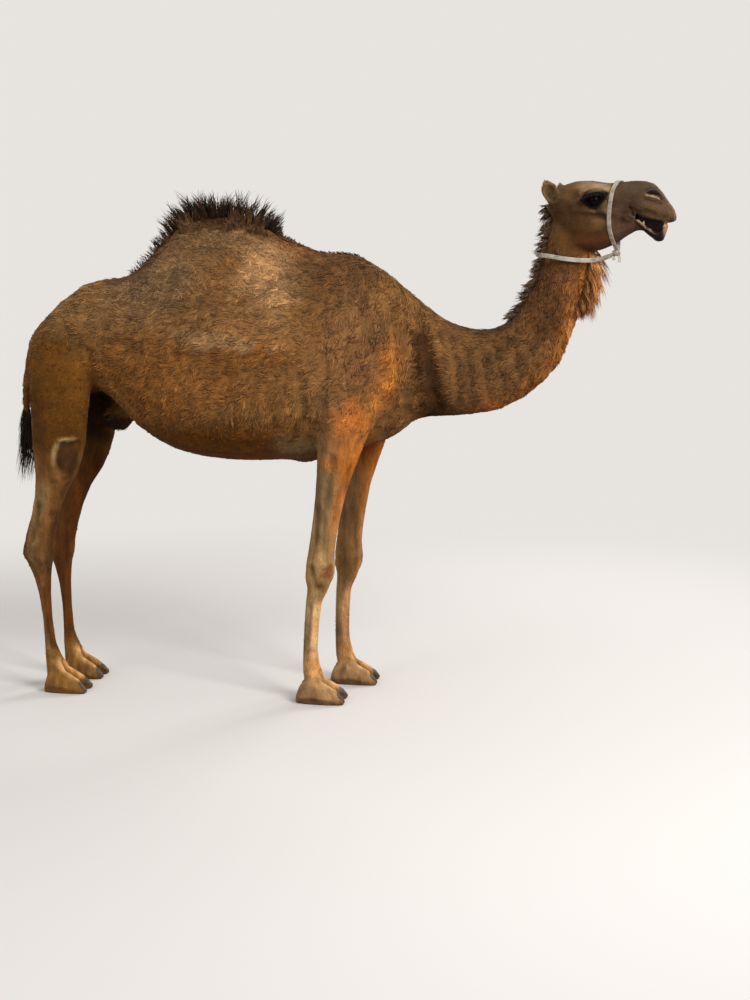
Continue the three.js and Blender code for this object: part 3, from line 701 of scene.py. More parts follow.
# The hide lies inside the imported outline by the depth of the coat, and the soles are flat.
# Away from the small forms of the face it is then thinned, as the hair covers it.
SOLE = 10                 # mm above the floor where the foot's flat sole ends


def coat_depth(p):
    """How thick the coat lies at each place, in mm."""
    depth = np.full(len(p), 6.0)
    depth = toward(depth, 9.0, ramp(p[:, 2], 1700, 1820) * ramp(-p[:, 0], -420, -330))
    depth = toward(depth, 3.2, ramp(-p[:, 2], -1050, -820))
    depth = toward(depth, 2.0, ramp(-p[:, 2], -190, -120))
    depth = toward(depth, 2.2, head_share(p))
    depth = toward(depth, 1.0, (head_share(p) * ramp(to_head(p)[:, 0], 250, 300)))
    tail = ramp(-p[:, 0], 690, 712) * ramp(-p[:, 2], -1390, -1330) * ramp(p[:, 2], 900, 1000)
    return toward(depth, 3.0, tail)


def thin_out(chosen, left):
    """Thins a part of the hide until only this share of its points is left."""
    global clay
    group = skin.vertex_groups.new(name="thin")
    group.add(np.flatnonzero(chosen(clay)).tolist(), 1.0, "REPLACE")
    fewer = skin.modifiers.new("thin", "DECIMATE")
    fewer.vertex_group = "thin"
    fewer.ratio = 1 - (1 - left) * chosen(clay).sum() / len(clay)
    apply_all(skin)
    skin.vertex_groups.clear()
    clay = read(skin)


def is_small_form(p):
    return about(p, (145, 90, 4), (60, 42, 54)) | at_eye_or_nostril(p)


def is_head(p):
    return (head_share(p) > 0.3) & ~is_small_form(p)


def is_foot(p):
    return p[:, 2] < 120


def is_body(p):
    return (head_share(p) <= 0.3) & ~is_foot(p)


clay -= facing * (coat_depth(clay) * ramp(clay[:, 2], 4, 26))[:, None]
soles = (clay[:, 2] < SOLE) & (facing[:, 2] < -0.75)
clay[soles, 2] = 0
clay[:, 2] = np.maximum(clay[:, 2], 0)
soften((402, 0, -92), (20, 40, 26), 5)
write(skin, clay)
thin_out(is_body, 0.142)
thin_out(is_foot, 0.45)
thin_out(is_head, 0.118)
thin_out(is_small_form, 0.4)


def eased(values, pairs, rounds):
    """Each point's value drawn toward its neighbours' mean, so many times."""
    ends = np.concatenate([pairs[:, 0], pairs[:, 1]])
    others = np.concatenate([pairs[:, 1], pairs[:, 0]])
    shares = np.bincount(ends, minlength=len(values))[:, None]
    for _ in range(rounds):
        means = np.stack([np.bincount(ends, column[others], len(values))
                          for column in values.T], 1) / shares
        values = (values + means) / 2
    return values


def relief_of(piece):
    """How far each place stands above its surroundings, from -1 in a fold to 1 on a ridge."""
    pairs = np.empty(len(piece.data.edges) * 2, np.int32)
    piece.data.edges.foreach_get("vertices", pairs)
    pairs = pairs.reshape(-1, 2)
    points, ways = read(piece), outwards(piece)
    height = ((points - eased(points, pairs, 6)) * ways).sum(1, keepdims=True)
    height -= eased(height, pairs, 40)
    size = 1.5 - 0.9 * head_share(points)
    return eased(height / size[:, None], pairs, 2)[:, 0].clip(-1, 1)


skin.modifiers.new("flat_faces", "TRIANGULATE")
apply_all(skin)
skin.data.uv_layers.new(name="OFBake")
take_up(skin)
bpy.ops.object.mode_set(mode="EDIT")
bpy.ops.mesh.select_all(action="SELECT")
bpy.ops.uv.smart_project(angle_limit=1.15, island_margin=0.002, scale_to_bounds=True)
bpy.ops.object.mode_set(mode="OBJECT")
bpy.ops.object.shade_smooth()
facing = outwards(skin)


# The colours belong to places on the animal, so hide and hair share them: tan over a
# browner shoulder and withers, russet down the front, pale lower legs, a grey muzzle, and
# near-black round the eyes, in the nostrils and in the mouth. Some of it is painted light:
# warm sunlight on the front, the fore legs' fronts and the toes, and painted shade under the
# belly, between and inside the legs, in folds and in the openings of the face.
def tone(code):
    """A colour given by six hexadecimal digits, in the linear numbers a shader takes."""
    parts = np.array([int(code[i:i + 2], 16) for i in (0, 2, 4)]) / 255
    return np.where(parts < 0.04, parts / 12.92, ((parts + 0.055) / 1.055) ** 2.4)


def grain(p, size, seed=0):
    """A smooth random number from 0 to 1 at each place, in lumps of the given size in mm."""
    q = p / np.array(size, float) + seed * 17.31
    cell = np.floor(q).astype(np.int64)
    t = q - cell
    t = t * t * (3 - 2 * t)
    total = np.zeros(len(p))
    for i in range(8):
        step = np.array([i & 1, i >> 1 & 1, i >> 2 & 1])
        c = cell + step
        code = c[:, 0] * 73856093 ^ c[:, 1] * 19349663 ^ c[:, 2] * 83492791 ^ seed * 97531
        code = (code ^ code >> 13) * 1274126177 & 0xFFFFFFFF
        code = (code ^ code >> 15) * 2246822519 & 0xFFFFFFFF
        total += code / 0xFFFFFFFF * np.where(step, t, 1 - t).prod(1)
    return total


NAPE = [(620, 0, 1730), (724, 0, 1714), (803, 0, 1662), (882, 0, 1596), (962, 0, 1533),
        (1050, 0, 1492), (1138, 0, 1480), (1197, 0, 1494), (1255, 0, 1538), (1285, 0, 1590),
        (1318, 0, 1652), (1342, 0, 1724), (1360, 0, 1792), (1372, 0, 1860), (1388, 0, 1925)]
THROAT = [(985, 0, 1125), (1085, 0, 1134), (1150, 0, 1146), (1250, 0, 1182), (1356, 0, 1258),
          (1433, 0, 1348), (1481, 0, 1473), (1521, 0, 1589), (1553, 0, 1700), (1558, 0, 1780)]
# The features below are drawn on the side of the head: forward and up from the head's origin.
EYE_SHAPE = [(86, 2), (100, 20), (126, 29), (165, 34), (190, 29), (180, 4), (160, -20),
             (143, -31), (120, -22), (100, -8)]
NOSTRIL_SHAPE = [(332, 27), (350, 37), (372, 35), (396, 25), (414, 9), (408, 1), (392, 9),
                 (372, 18), (350, 23)]
NOSTRIL_RIM = [(333, 20), (350, 16), (368, 11), (384, 4)]
LOWER_RIM = [(292, -62), (306, -77), (328, -96), (352, -111), (372, -118), (386, -108), (394, -94),
             (398, -80)]


def side_of(places):
    """The head seen square from the side: places with their sideways measure left out."""
    return places * (1, 0, 1)


def within(outline, places, soft):
    """1 inside an outline drawn on the side of the head, 0 outside it, soft at its edge."""
    flat = side_of(places)
    ring = rounded([(s, 0, up) for s, up in [*outline, outline[0]]], 5)
    gap = distance_to(ring, flat)[0]
    inside = np.zeros(len(flat), bool)
    for (s0, _, up0), (s1, _, up1) in zip(ring[:-1], ring[1:]):
        if up0 != up1:
            spans = (up0 > flat[:, 2]) != (up1 > flat[:, 2])
            inside ^= spans & (flat[:, 0] < s0 + (flat[:, 2] - up0) / (up1 - up0) * (s1 - s0))
    return ramp(np.where(inside, gap, -gap), -soft, soft)


def upright(p):
    """Where the coat falls in upright streaks, from 0 on the rump to 1 on the neck's side."""
    share = ramp(p[:, 0], -330, -150) * ramp(-p[:, 2], -1500, -1250)
    share = np.maximum(share, ramp(p[:, 0], 380, 560))
    share = np.maximum(share, ramp(-p[:, 2], -1050, -900))
    return np.clip(share * (1 - head_share(p)), 0, 1)


LEVELS = np.arange(0, 1001, 40)
LEG_EDGES = []
for low, high in ((250, 740), (-780, -330)):
    for side in SIDES:
        leg = clay[(clay[:, 0] > low) & (clay[:, 0] < high) & (clay[:, 1] * side > 20)]
        rows = [leg[np.abs(leg[:, 2] - level) < 30, 0] for level in LEVELS]
        LEG_EDGES.append((low, high, side, [row.min() for row in rows],
                          [row.max() for row in rows]))


def forward_in_leg(p):
    """How far forward in its leg each place is, from 0 behind to 1 in front."""
    share = np.zeros(len(p))
    for low, high, side, rear, front in LEG_EDGES:
        leg = (p[:, 0] > low) & (p[:, 0] < high) & (p[:, 1] * side > 0)
        behind = np.interp(p[leg, 2], LEVELS, rear)
        ahead = np.interp(p[leg, 2], LEVELS, front)
        share[leg] = (p[leg, 0] - behind) / (ahead - behind)
    return share


LIP_SPLIT = rounded([(398, 0, 2), (418, 0, -28), (432, 0, -58), (436, 0, -82)], 3)


def markings(p):
    """The colours of the animal at these places."""
    y = np.abs(p[:, 1])
    here = np.stack([p[:, 0], y, p[:, 2]], 1)
    h = to_head(p)
    h[:, 1] = np.abs(h[:, 1])
    ragged = (grain(p, 62, 1) - 0.5) * 0.8 + (grain(p, 21, 2) - 0.5) * 0.5
    colour = np.tile(tone("815d37"), (len(p), 1))

    def lay(code, share):
        colour[:] += (tone(code) - colour) * np.clip(share, 0, 1)[:, None]

    def spot(place, size, soft=0.5, places=here, rough=0.5):
        gap = np.linalg.norm((places - np.array(place)) / np.array(size), axis=1)
        return ramp(-gap - ragged * rough, -1 - soft, -1 + soft)

    def band(path, width, soft=0.5, places=here, rough=0.5):
        gap = distance_to(rounded(path, 4), places)[0] / width
        return ramp(-gap - ragged * rough, -1 - soft, -1 + soft)

    # Hindquarters, hump and flank.
    lay("886a48", spot((-600, 100, 1500), (220, 280, 190)))
    lay("654112", spot((-545, 190, 1190), (190, 150, 310)))
    lay("84694b", spot((-150, 110, 1660), (200, 210, 170)))
    lay("bb956c", spot((325, 110, 1685), (125, 210, 160)) * 0.85)
    lay("856848", spot((40, 60, 1830), (210, 130, 90)))
    lay("97714a", spot((200, 250, 1490), (190, 130, 90), 0.3, rough=1.1) * 0.45)
    lay("875828", spot((-60, 260, 1290), (360, 160, 170)) * 0.6)
    lay("7a4c20", spot((250, 270, 1385), (130, 90, 62)) * 0.55)
    lay("b89c78", spot((140, 270, 1440), (150, 90, 30), 0.4, rough=2.6) * 0.38)
    # The belly's underside is darker: partly its own colour, partly painted shade under the body.
    lay("684010", ramp(-p[:, 2] - 40 * ragged, -1160, -1050) * ramp(p[:, 0], -330, -180)
        * ramp(-p[:, 0], -560, -470))
    lay("4d3321", spot((-210, 20, 1700), (170, 60, 120)) * 0.7)
    lay("51351f", spot((60, 0, 1915), (200, 85, 46), rough=0.9))
    lay("b5713c", band([(330, 40, 1850), (390, 44, 1812), (450, 44, 1782)], 30, 0.7, rough=0.9)
        * 0.8)
    lay("4d3321", spot((345, 10, 1850), (110, 60, 90)) * 0.6)
    # Withers, shoulder and the russet front, its russet partly the coat's own and partly painted
    # warm sunlight.
    lay("67482c", spot((575, 80, 1700), (170, 160, 125)))
    lay("835f3e", spot((650, 210, 1430), (120, 120, 210)) * 0.8)
    lay("714e30", spot((690, 215, 1340), (62, 80, 120)) * 0.6)
    lay("7c5b3a", spot((560, 260, 1180), (110, 90, 110)))
    # Painted warm sunlight over the coat's own russet, down the front of the shoulder and at the
    # elbow.
    lay("b3763d", band([(790, 180, 1385), (785, 188, 1300), (768, 196, 1220), (730, 210, 1150),
                        (690, 220, 1090)], 52, 0.75) * 0.9)
    lay("c57a3c", spot((640, 220, 1080), (75, 90, 110), rough=0.9) * 0.8)
    # Painted shade in the fold where the neck leaves the chest, and under the neck's base.
    lay("42260e", band([(905, 108, 1440), (935, 116, 1320), (958, 96, 1215), (985, 40, 1150)],
                       42) * 0.95)
    lay("3a2008", spot((1000, 60, 1150), (105, 90, 66)) * 0.9)
    # Neck: russet along the throat, partly painted warm sunlight, dark along the nape.
    lay("6f4f30", ramp(p[:, 0], 960, 1080) * (1 - head_share(p)) * 0.9)
    lay("5e3e22", ramp(p[:, 0], 1240, 1330) * ramp(p[:, 2], 1380, 1500) * 0.9)
    # The throat's russet and its paler upper part are partly painted warm sunlight.
    lay("a66c39", band(THROAT, 78, 0.6) * ramp(p[:, 0], 1060, 1160) * 0.75)
    lay("cc8c54", band(THROAT[6:], 46, 0.5) * 0.85)
    lay("4a3623", band(NAPE[5:], 40, 0.5) * 0.9)
    lay("5d4530", band(NAPE[:6], 36, 0.5) * 0.45)
    # Fore legs: russet and then sandy in front, partly their own colour and partly a painted
    # highlight of warm sunlight on the side that faces forward; greyer behind, the pads dusty.
    fore = ramp(p[:, 0], 300, 380) * ramp(-p[:, 2], -1120, -1000)
    forward = forward_in_leg(p)
    left_ahead = np.where(p[:, 1] > 0, 95 - 0.04 * p[:, 2], 0)
    stance = here - left_ahead[:, None] * np.array([1, 0, 0])
    lay("8a7353", fore * 0.95)
    # Painted highlight: the fronts of the fore legs are paler and warmer, as in low sunlight.
    lay("bd7432", fore * ramp(forward + 0.12 * ragged, 0.48, 0.92) * ramp(p[:, 2], 620, 760))
    lay("a08457", fore * ramp(-p[:, 2] - 30 * ragged, -720, -600))
    lay("cf955c", fore * ramp(forward, 0.72, 0.92) * ramp(-p[:, 2], -900, -760) * 0.8)
    lay("ad8d66", fore * spot((520, 180, 545), (70, 60, 62), 0.5, stance, 1.0))
    lay("824a22", fore * spot((548, 196, 515), (30, 44, 40), 0.4, stance, 2.6) * 0.75)
    lay("6e4526", fore * spot((516, 200, 474), (36, 40, 18), 0.4, stance, 2.0) * 0.8)
    lay("20140b", fore * band([(474, 200, 520), (484, 204, 492), (500, 208, 470),
                               (512, 208, 452)], 8, 0.5, stance, 1.2) * 0.85)
    lay("a68f6b", fore * ramp(-p[:, 2] - 30 * ragged, -440, -380))
    # Painted highlight of sunlight down the front of the cannon and over the toes.
    lay("f5bb8c", fore * ramp(forward + 0.1 * ragged, 0.40, 0.60) * ramp(-p[:, 2], -440, -380))
    lay("4e3018", fore * spot((485, 190, 208), (40, 50, 7), 0.5, stance, 1.6) * 0.4)
    lay("d69f68", fore * ramp(-p[:, 2], -200, -160) * (0.35 + 0.65 * ramp(forward, 0.2, 0.5)))
    lay("a3835f", fore * ramp(-p[:, 2], -120, -70))
    lay("7c5f42", fore * ramp(-p[:, 2], -34, -12) * 0.7)
    # Hind legs: golden brown, greyer behind, with the grey callus on the stifle.
    hind = ramp(-p[:, 0], 330, 400) * ramp(-p[:, 2], -1000, -900)
    outer = ramp(y, 110, 150)
    lay("8a6238", hind * 0.9)
    lay("a28a62", hind * outer * ramp(-forward, -0.60, -0.30) * ramp(-p[:, 2], -900, -800) * 0.9)
    lay("5c3819", hind * ramp(forward + 0.1 * ragged, 0.55, 0.90) * ramp(p[:, 2], 560, 640) * 0.8)
    lay("684c2f", hind * spot((-640, 150, 570), (70, 60, 60), 0.5, rough=1.2) * 0.85)
    lay("865629", hind * ramp(-p[:, 2], -500, -420) * 0.8)
    lay("aa8c62", hind * outer * ramp(-forward, -0.62, -0.34) * ramp(-p[:, 2], -500, -420) * 0.9)
    lay("966d3b", hind * ramp(-p[:, 2], -200, -140))
    lay("7b5a35", hind * ramp(-p[:, 2], -60, -24) * 0.7)
    # Painted shade: the inner sides of the legs, which face each other, are darker.
    lay("5a3210", (hind + fore * 0.8) * (1 - outer) * 0.8 * ramp(p[:, 2], 100, 200))
    # The toes: painted highlights along their ridges, painted shade in the cleft between them, and
    # darker round the nails.
    for x, y_mid, length, half in [(507, 156, 200, 85), (-551, 117, 182, 74)]:
        foot = stance if x > 0 else here
        tip, ridge = x + length / 2, 0.44 * half
        near_foot = (fore if x > 0 else hind) * ramp(-p[:, 2], -150, -110)
        for toe in (-1, 1):
            lay("e0ae78", near_foot * band([(x - 35, y_mid + toe * 20, 124),
                                            (x, y_mid + toe * ridge, 96),
                                            (tip - 40, y_mid + toe * ridge, 62)],
                                           17, 0.6, foot) * 0.85)
            lay("432a1a", near_foot * spot((tip - 4, y_mid + toe * ridge, 22), (22, 28, 20), 0.6,
                                           foot) * 0.8)
        lay("3a2413", near_foot * band([(x + 5, y_mid, 96), (tip - 40, y_mid, 50),
                                        (tip, y_mid, 18)], 10, 0.5, foot) * 0.8)
    lay("c4a67c", band([(-552, 208, 915), (-550, 208, 985), (-522, 214, 1026),
                               (-480, 208, 1038), (-444, 198, 1042)], 11, 0.5, rough=0.9) * 0.7)
    lay("4d3219", spot((-492, 205, 954), (52, 50, 72), 0.14, rough=0.55) * 0.95)
    lay("1c1209", band([(-512, 210, 980), (-492, 212, 958), (-470, 206, 962), (-450, 200, 985)],
                        5, 0.5) * 0.7)
    lay("2a1c10", band([(-540, 208, 925), (-528, 212, 990), (-500, 214, 1022)], 5, 0.5) * 0.7)
    # Painted shade between the hind legs: near-black on the inner thigh and groin, and on the sheath
    # at the midline.
    lay("150b04", spot((-470, 60, 1130), (95, 72, 190)) * 0.85)
    lay("1c0f06", spot((-350, 0, 1090), (66, 52, 66), rough=0.3) * 0.9)
    lay("5a3c25", ramp(-p[:, 0], 672, 712) * ramp(-p[:, 2], -1330, -1000) * 0.8)
    # Head.
    head = head_share(p)
    lay("654a2d", head)
    lay("523820", head * spot((60, 80, -80), (90, 60, 100), places=h))
    lay("5c3a18", head * spot((60, 60, -160), (130, 70, 56), places=h) * 0.8)
    lay("4a2812", head * spot((170, 30, -160), (150, 50, 50), places=h) * 0.85)
    lay("4b3728", head * ramp(h[:, 0] + 30 * ragged, 165, 235))
    lay("4b3c2b", head * ramp(h[:, 0], 200, 260) * ramp(h[:, 2], 10, 60) * 0.9)
    lay("5e452f", head * spot((370, 50, -45), (70, 50, 46), 0.5, h) * 0.85)
    lay("8a6d50", head * spot((130, 62, 62), (66, 30, 26), 0.5, h) * 0.8)
    cheek = head * ramp(h[:, 1], 22, 34)
    flat = side_of(h)

    def drawn(path, width, soft=0.5, drop=0):
        return cheek * band([(s, 0, up - drop) for s, up in path], width, soft, flat, 0.2)

    # Paler along the brow's arc: partly its own paler colour, partly a painted highlight on the
    # ridge's lit top.
    lay("9c8263", drawn([(90, 30), (108, 44), (136, 54), (168, 53), (194, 42)], 8, 0.7) * 0.8)
    lay("38251a", drawn([(196, 30), (204, 8), (206, -18)], 10, 0.8) * 0.6)
    lay("2b1a10", drawn([(158, -30), (166, -44), (172, -58)], 14, 0.7) * 0.8)
    lay("3d2718", drawn([(88, -4), (64, -16), (40, -24)], 9, 0.8) * 0.5)
    # Near-black almond round each eye: partly the dark skin of the lids, partly painted shade of the
    # deep socket and the lashes.
    lay("0a0503", cheek * within(EYE_SHAPE, h, 7))
    lay("060201", cheek * within(EYE_SHAPE, h, 2))
    lay("a88f70", drawn(NOSTRIL_RIM, 3.6, 0.6) * 0.8)
    lay("33231a", drawn(NOSTRIL_RIM, 6, 0.7, 13) * 0.5)
    lay("33231a", drawn([(330, 40), (352, 47), (376, 44), (400, 32)], 6, 0.7) * 0.5)
    # Painted shade: the inside of the nostril's slit is near-black.
    lay("060201", cheek * within(NOSTRIL_SHAPE, h, 1.6))
    lay("8f6242", head * band(LIP_SPLIT + (4, 9, 0), 9, 0.6, h) * 0.6)
    # Painted shade in the cleft of the upper lip.
    lay("241208", head * band(LIP_SPLIT, 4.5, 0.5, h, 0.2))
    lay("806856", head * spot((374, 0, -126), (44, 60, 26), 0.5, h) * 0.8)
    lay("2a1a10", head * band([(s, 0, up - 16) for s, up in LOWER_RIM[:5]], 7, 0.5, flat, 0.2)
        * 0.9)
    lay("a08668", head * band([(s, 0, up) for s, up in LOWER_RIM], 7, 0.5, flat, 0.2) * 0.9)
    lay("c08658", head * band([(400, 0, -118), (406, 0, -104), (406, 0, -86)], 7, 0.6, flat, 0.2)
        * 0.8)
    # Painted shade along the line of the mouth, under the upper lip.
    lay("22140d", head * band([(276, 0, -44), (296, 0, -60), (330, 0, -70), (370, 0, -78)], 5, 0.5,
                              flat, 0.2) * 0.8)
    # Painted shade: the hide inside the open mouth is near-black.
    lay("170a07", head * ramp(h[:, 0], 276, 296) * ramp(-h[:, 1], -36, -26)
        * ramp(-h[:, 2], 58, 70) * ramp(h[:, 2] + 0.9 * (h[:, 0] - 290), -86, -74)
        * ramp(-h[:, 0], -397, -389))
    ear = ramp(-h[:, 0], -22, 2) * ramp(h[:, 2], -30, -8) * ramp(h[:, 1], 50, 64)
    lay("6f5535", ear)
    # Darker where the ear meets the head and in the ear's hollow: partly the ear's own dark colour,
    # partly painted shade.
    lay("2c170b", head * spot((-8, 72, -8), (30, 34, 48), 0.9, h) * 0.75)
    lay("2c1c0f", spot((-26, 90, 34), (17, 20, 26), 0.5, h) * ear * 0.8)
    lay("8f7350", ear * ramp(h[:, 2], 58, 82) * 0.7)

    # Clumps of hair part over darker roots, level behind and upright in front.
    level = grain(p, (74, 74, 13), 5) * 0.6 + grain(p, (30, 30, 6), 6) * 0.4
    fall = grain(p, (15, 15, 80), 7) * 0.6 + grain(p, (6, 6, 34), 8) * 0.4
    streak = level + (fall - level) * upright(p)
    blotch = grain(p, 130, 3) * 0.5 + grain(p, 44, 4) * 0.5
    strength = 0.95 - 0.55 * head - 0.45 * ramp(-p[:, 2], -950, -760)
    shade = 1 + ((streak - 0.5) * 1.15 + (blotch - 0.5) * 0.7) * strength
    limb = ramp(-p[:, 2], -950, -760)
    shade *= 1 + limb * ((grain(p, (17, 17, 170), 9) - 0.5) * 0.8 + (grain(p, 24, 10) - 0.5) * 0.4)
    colour *= np.clip(shade * 1.06, 0.4, 1.7)[:, None]
    # Painted warm light: away from the head every colour is tinted warmer, the warmth of low
    # sunlight.
    colour *= 1 + (np.array([1.0, 0.93, 0.84]) - 1) * (1 - head)[:, None]
    grey = colour.mean(1, keepdims=True)
    colour += (colour - grey) * 0.04
    return np.clip(colour, 0.002, 0.95)


def store_colour(piece, colours):
    rgba = np.ones((len(colours), 4), np.float32)
    rgba[:, :3] = colours
    layer = piece.data.color_attributes.new("coat_colour", "FLOAT_COLOR", "POINT")
    layer.data.foreach_set("color", rgba.ravel())


def store_number(piece, name, numbers):
    layer = piece.data.attributes.new(name, "FLOAT", "POINT")
    layer.data.foreach_set("value", np.asarray(numbers, np.float32))


def noise_along(nodes, links, size, turn, detail=3.0, waves=0.6):
    """Noise in cells of the given size in metres, turned about Y, and made wavy."""
    place = nodes.new("ShaderNodeTexCoord")
    fit = nodes.new("ShaderNodeMapping")
    fit.vector_type = "TEXTURE"
    fit.inputs["Scale"].default_value = size
    fit.inputs["Rotation"].default_value = (0, math.radians(turn), 0)
    noise = nodes.new("ShaderNodeTexNoise")
    noise.inputs["Scale"].default_value = 1.0
    noise.inputs["Detail"].default_value = detail
    noise.inputs["Distortion"].default_value = waves
    links.new(place.outputs["Object"], fit.inputs["Vector"])
    links.new(fit.outputs["Vector"], noise.inputs["Vector"])
    return noise.outputs["Fac"]


def mixed(nodes, links, share, first, second):
    mix = nodes.new("ShaderNodeMix")
    mix.data_type = "FLOAT"
    links.new(share, mix.inputs["Factor"])
    links.new(first, mix.inputs["A"])
    links.new(second, mix.inputs["B"])
    return mix.outputs["Result"]


def reads(nodes, name, output="Fac"):
    layer = nodes.new("ShaderNodeAttribute")
    layer.attribute_name = name
    return layer.outputs[output]


def calc(nodes, links, operation, *values):
    step = nodes.new("ShaderNodeMath")
    step.operation = operation
    for i, value in enumerate(values):
        if isinstance(value, (int, float)):
            step.inputs[i].default_value = value
        else:
            links.new(value, step.inputs[i])
    return step.outputs[0]


def ranged(nodes, links, source, start, end, low, high):
    """The source's span from start to end, stretched to run from low to high."""
    fit = nodes.new("ShaderNodeMapRange")
    for socket, value in (("From Min", start), ("From Max", end), ("To Min", low), ("To Max", high)):
        fit.inputs[socket].default_value = value
    links.new(source, fit.inputs["Value"])
    return fit.outputs["Result"]


def tones(nodes, links, source, *stops):
    """A colour that passes through these stops, each a level and its colour."""
    shades = nodes.new("ShaderNodeValToRGB")
    line = shades.color_ramp.elements
    for end, (level, colour) in zip(line, (stops[0], stops[-1])):
        end.position = level
        end.color = (*colour, 1)
    for level, colour in stops[1:-1]:
        line.new(level).color = (*colour, 1)
    links.new(source, shades.inputs["Fac"])
    return shades.outputs["Color"]


def colour_by(nodes, links, shader, colour, light):
    """Gives the shader a colour that a changing light makes paler or darker."""
    tint = nodes.new("ShaderNodeVectorMath")
    tint.operation = "SCALE"
    links.new(colour, tint.inputs[0])
    links.new(light, tint.inputs["Scale"])
    links.new(tint.outputs["Vector"], shader.inputs["Base Color"])


def bumped(nodes, links, shader, height, strength, distance):
    bump = nodes.new("ShaderNodeBump")
    bump.inputs["Strength"].default_value = strength
    bump.inputs["Distance"].default_value = distance
    links.new(height, bump.inputs["Height"])
    links.new(bump.outputs["Normal"], shader.inputs["Normal"])


def hide_material():
    """Short flat hair: fine strands and loose clumps that follow the lie of the coat."""
    look, nodes, links, shader = new_look("short_coat")
    fall = reads(nodes, "upright")
    strands = mixed(nodes, links, fall,
                    noise_along(nodes, links, (0.016, 0.0018, 0.0018), -24),
                    noise_along(nodes, links, (0.0018, 0.0018, 0.016), 0))
    clumps = mixed(nodes, links, fall,
                   noise_along(nodes, links, (0.026, 0.0060, 0.0060), -24, 2.0, 1.4),
                   noise_along(nodes, links, (0.0060, 0.0060, 0.026), 0, 2.0, 1.4))
    both_sizes = calc(nodes, links, "ADD", calc(nodes, links, "MULTIPLY", strands, 0.5),
                      calc(nodes, links, "MULTIPLY", clumps, 0.5))
    light = ranged(nodes, links, both_sizes, 0.30, 0.70, 0.55, 1.40)
    colour_by(nodes, links, shader, reads(nodes, "coat_colour", "Color"), light)
    links.new(reads(nodes, "dryness"), shader.inputs["Roughness"])
    bumped(nodes, links, shader, both_sizes, 0.75, 0.0022)
    shader.inputs["Sheen Weight"].default_value = 0.05
    shader.inputs["Sheen Roughness"].default_value = 0.5
    shader.inputs["Specular IOR Level"].default_value = 0.15
    return look


UNDER_COAT = 0.90         # the roots are darker than the tips, so the hide is darker than the hair
# Painted light: ridges of the hide are painted paler, a painted highlight, and folds darker, painted
# shade.
PAINTED_RELIEF_LIGHT = 0.34       # how much paler the ridges are, and how much darker the folds
relief = relief_of(skin)
hide_colours = markings(clay) * (1 + PAINTED_RELIEF_LIGHT * relief[:, None])
store_colour(skin, hide_colours * (UNDER_COAT + (1 - UNDER_COAT) * head_share(clay)[:, None]))
store_number(skin, "upright", upright(clay))
bare = head_share(clay) * ramp(to_head(clay)[:, 0], 280, 330) * 0.22
store_number(skin, "dryness", 0.86 - bare)
skin.data.materials.append(hide_material())
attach(skin, "root")
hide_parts(*FLESH)


# ---- The eyes ----
# Each eye is a wet dark ball with a clear bulge in front and a level oval pupil. It sits in
# its socket behind the lids.
EYE_RADIUS = 23.8
EYE_SEAT = (141, 80, 3)


def eye_material(name, middle, gaze):
    look, nodes, links, shader = new_look(name)
    place = nodes.new("ShaderNodeTexCoord")
    front = nodes.new("ShaderNodeMapping")
    front.vector_type = "TEXTURE"
    front.inputs["Location"].default_value = middle
    front.inputs["Rotation"].default_value = gaze.to_track_quat("X", "Z").to_euler()
    front.inputs["Scale"].default_value = (1.0, 0.0105, 0.0062)
    links.new(place.outputs["Object"], front.inputs["Vector"])
    flat = nodes.new("ShaderNodeVectorMath")
    flat.operation = "MULTIPLY"
    flat.inputs[1].default_value = (0, 1, 1)
    links.new(front.outputs["Vector"], flat.inputs[0])
    reach = nodes.new("ShaderNodeVectorMath")
    reach.operation = "LENGTH"
    links.new(flat.outputs["Vector"], reach.inputs[0])
    rings = tones(nodes, links, calc(nodes, links, "MULTIPLY", reach.outputs["Value"], 0.33),
                  (0.30, (0.001, 0.001, 0.001)), (0.38, (0.007, 0.0035, 0.002)),
                  (0.70, (0.004, 0.002, 0.0015)), (0.95, (0.003, 0.002, 0.0015)))
    links.new(rings, shader.inputs["Base Color"])
    shader.inputs["Roughness"].default_value = 0.06
    shader.inputs["Specular IOR Level"].default_value = 0.05
    shader.inputs["Coat Weight"].default_value = 0.05
    shader.inputs["Coat Roughness"].default_value = 0.02
    return look


for side, word in ((-1, "right"), (1, "left")):
    middle = metres(*from_head([(EYE_SEAT[0], side * EYE_SEAT[1], EYE_SEAT[2])])[0])
    ahead = metres(*from_head([(EYE_SEAT[0] + 8, side * (EYE_SEAT[1] + 30), EYE_SEAT[2] + 1)])[0])
    gaze = (ahead - middle).normalized()
    bpy.ops.object.select_all(action="DESELECT")
    bpy.ops.mesh.primitive_uv_sphere_add(segments=48, ring_count=32, radius=EYE_RADIUS / 1000,
                                         location=middle)
    eye = bpy.context.object
    eye.name = eye.data.name = f"eyeball_{word}"
    bpy.ops.object.transform_apply(location=True, rotation=True, scale=True)
    for point in eye.data.vertices:
        forward = (point.co - middle).normalized().dot(gaze)
        point.co += gaze * 0.0016 * max(0.0, (forward - 0.72) / 0.28) ** 0.8
    bpy.ops.object.shade_smooth()
    eye.data.materials.append(eye_material(f"wet_eye_{word}", middle, gaze))
    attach(eye, "root")
    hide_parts(f"eye_{word}")


# ---- The inside of the mouth ----
# The tongue and gums are one wet mass that fills the open mouth behind the lips, near-black:
# partly their own dark red-brown, partly painted shade of the mouth's inside. A worn tooth
# stands near each corner.
MOUTH_SIDE = [(264, -48), (282, -38), (304, -42), (340, -50), (378, -60), (394, -78),
              (396, -98), (384, -118), (362, -128), (334, -116), (304, -94), (284, -80),
              (264, -74)]
MOUTH_HALF = 22


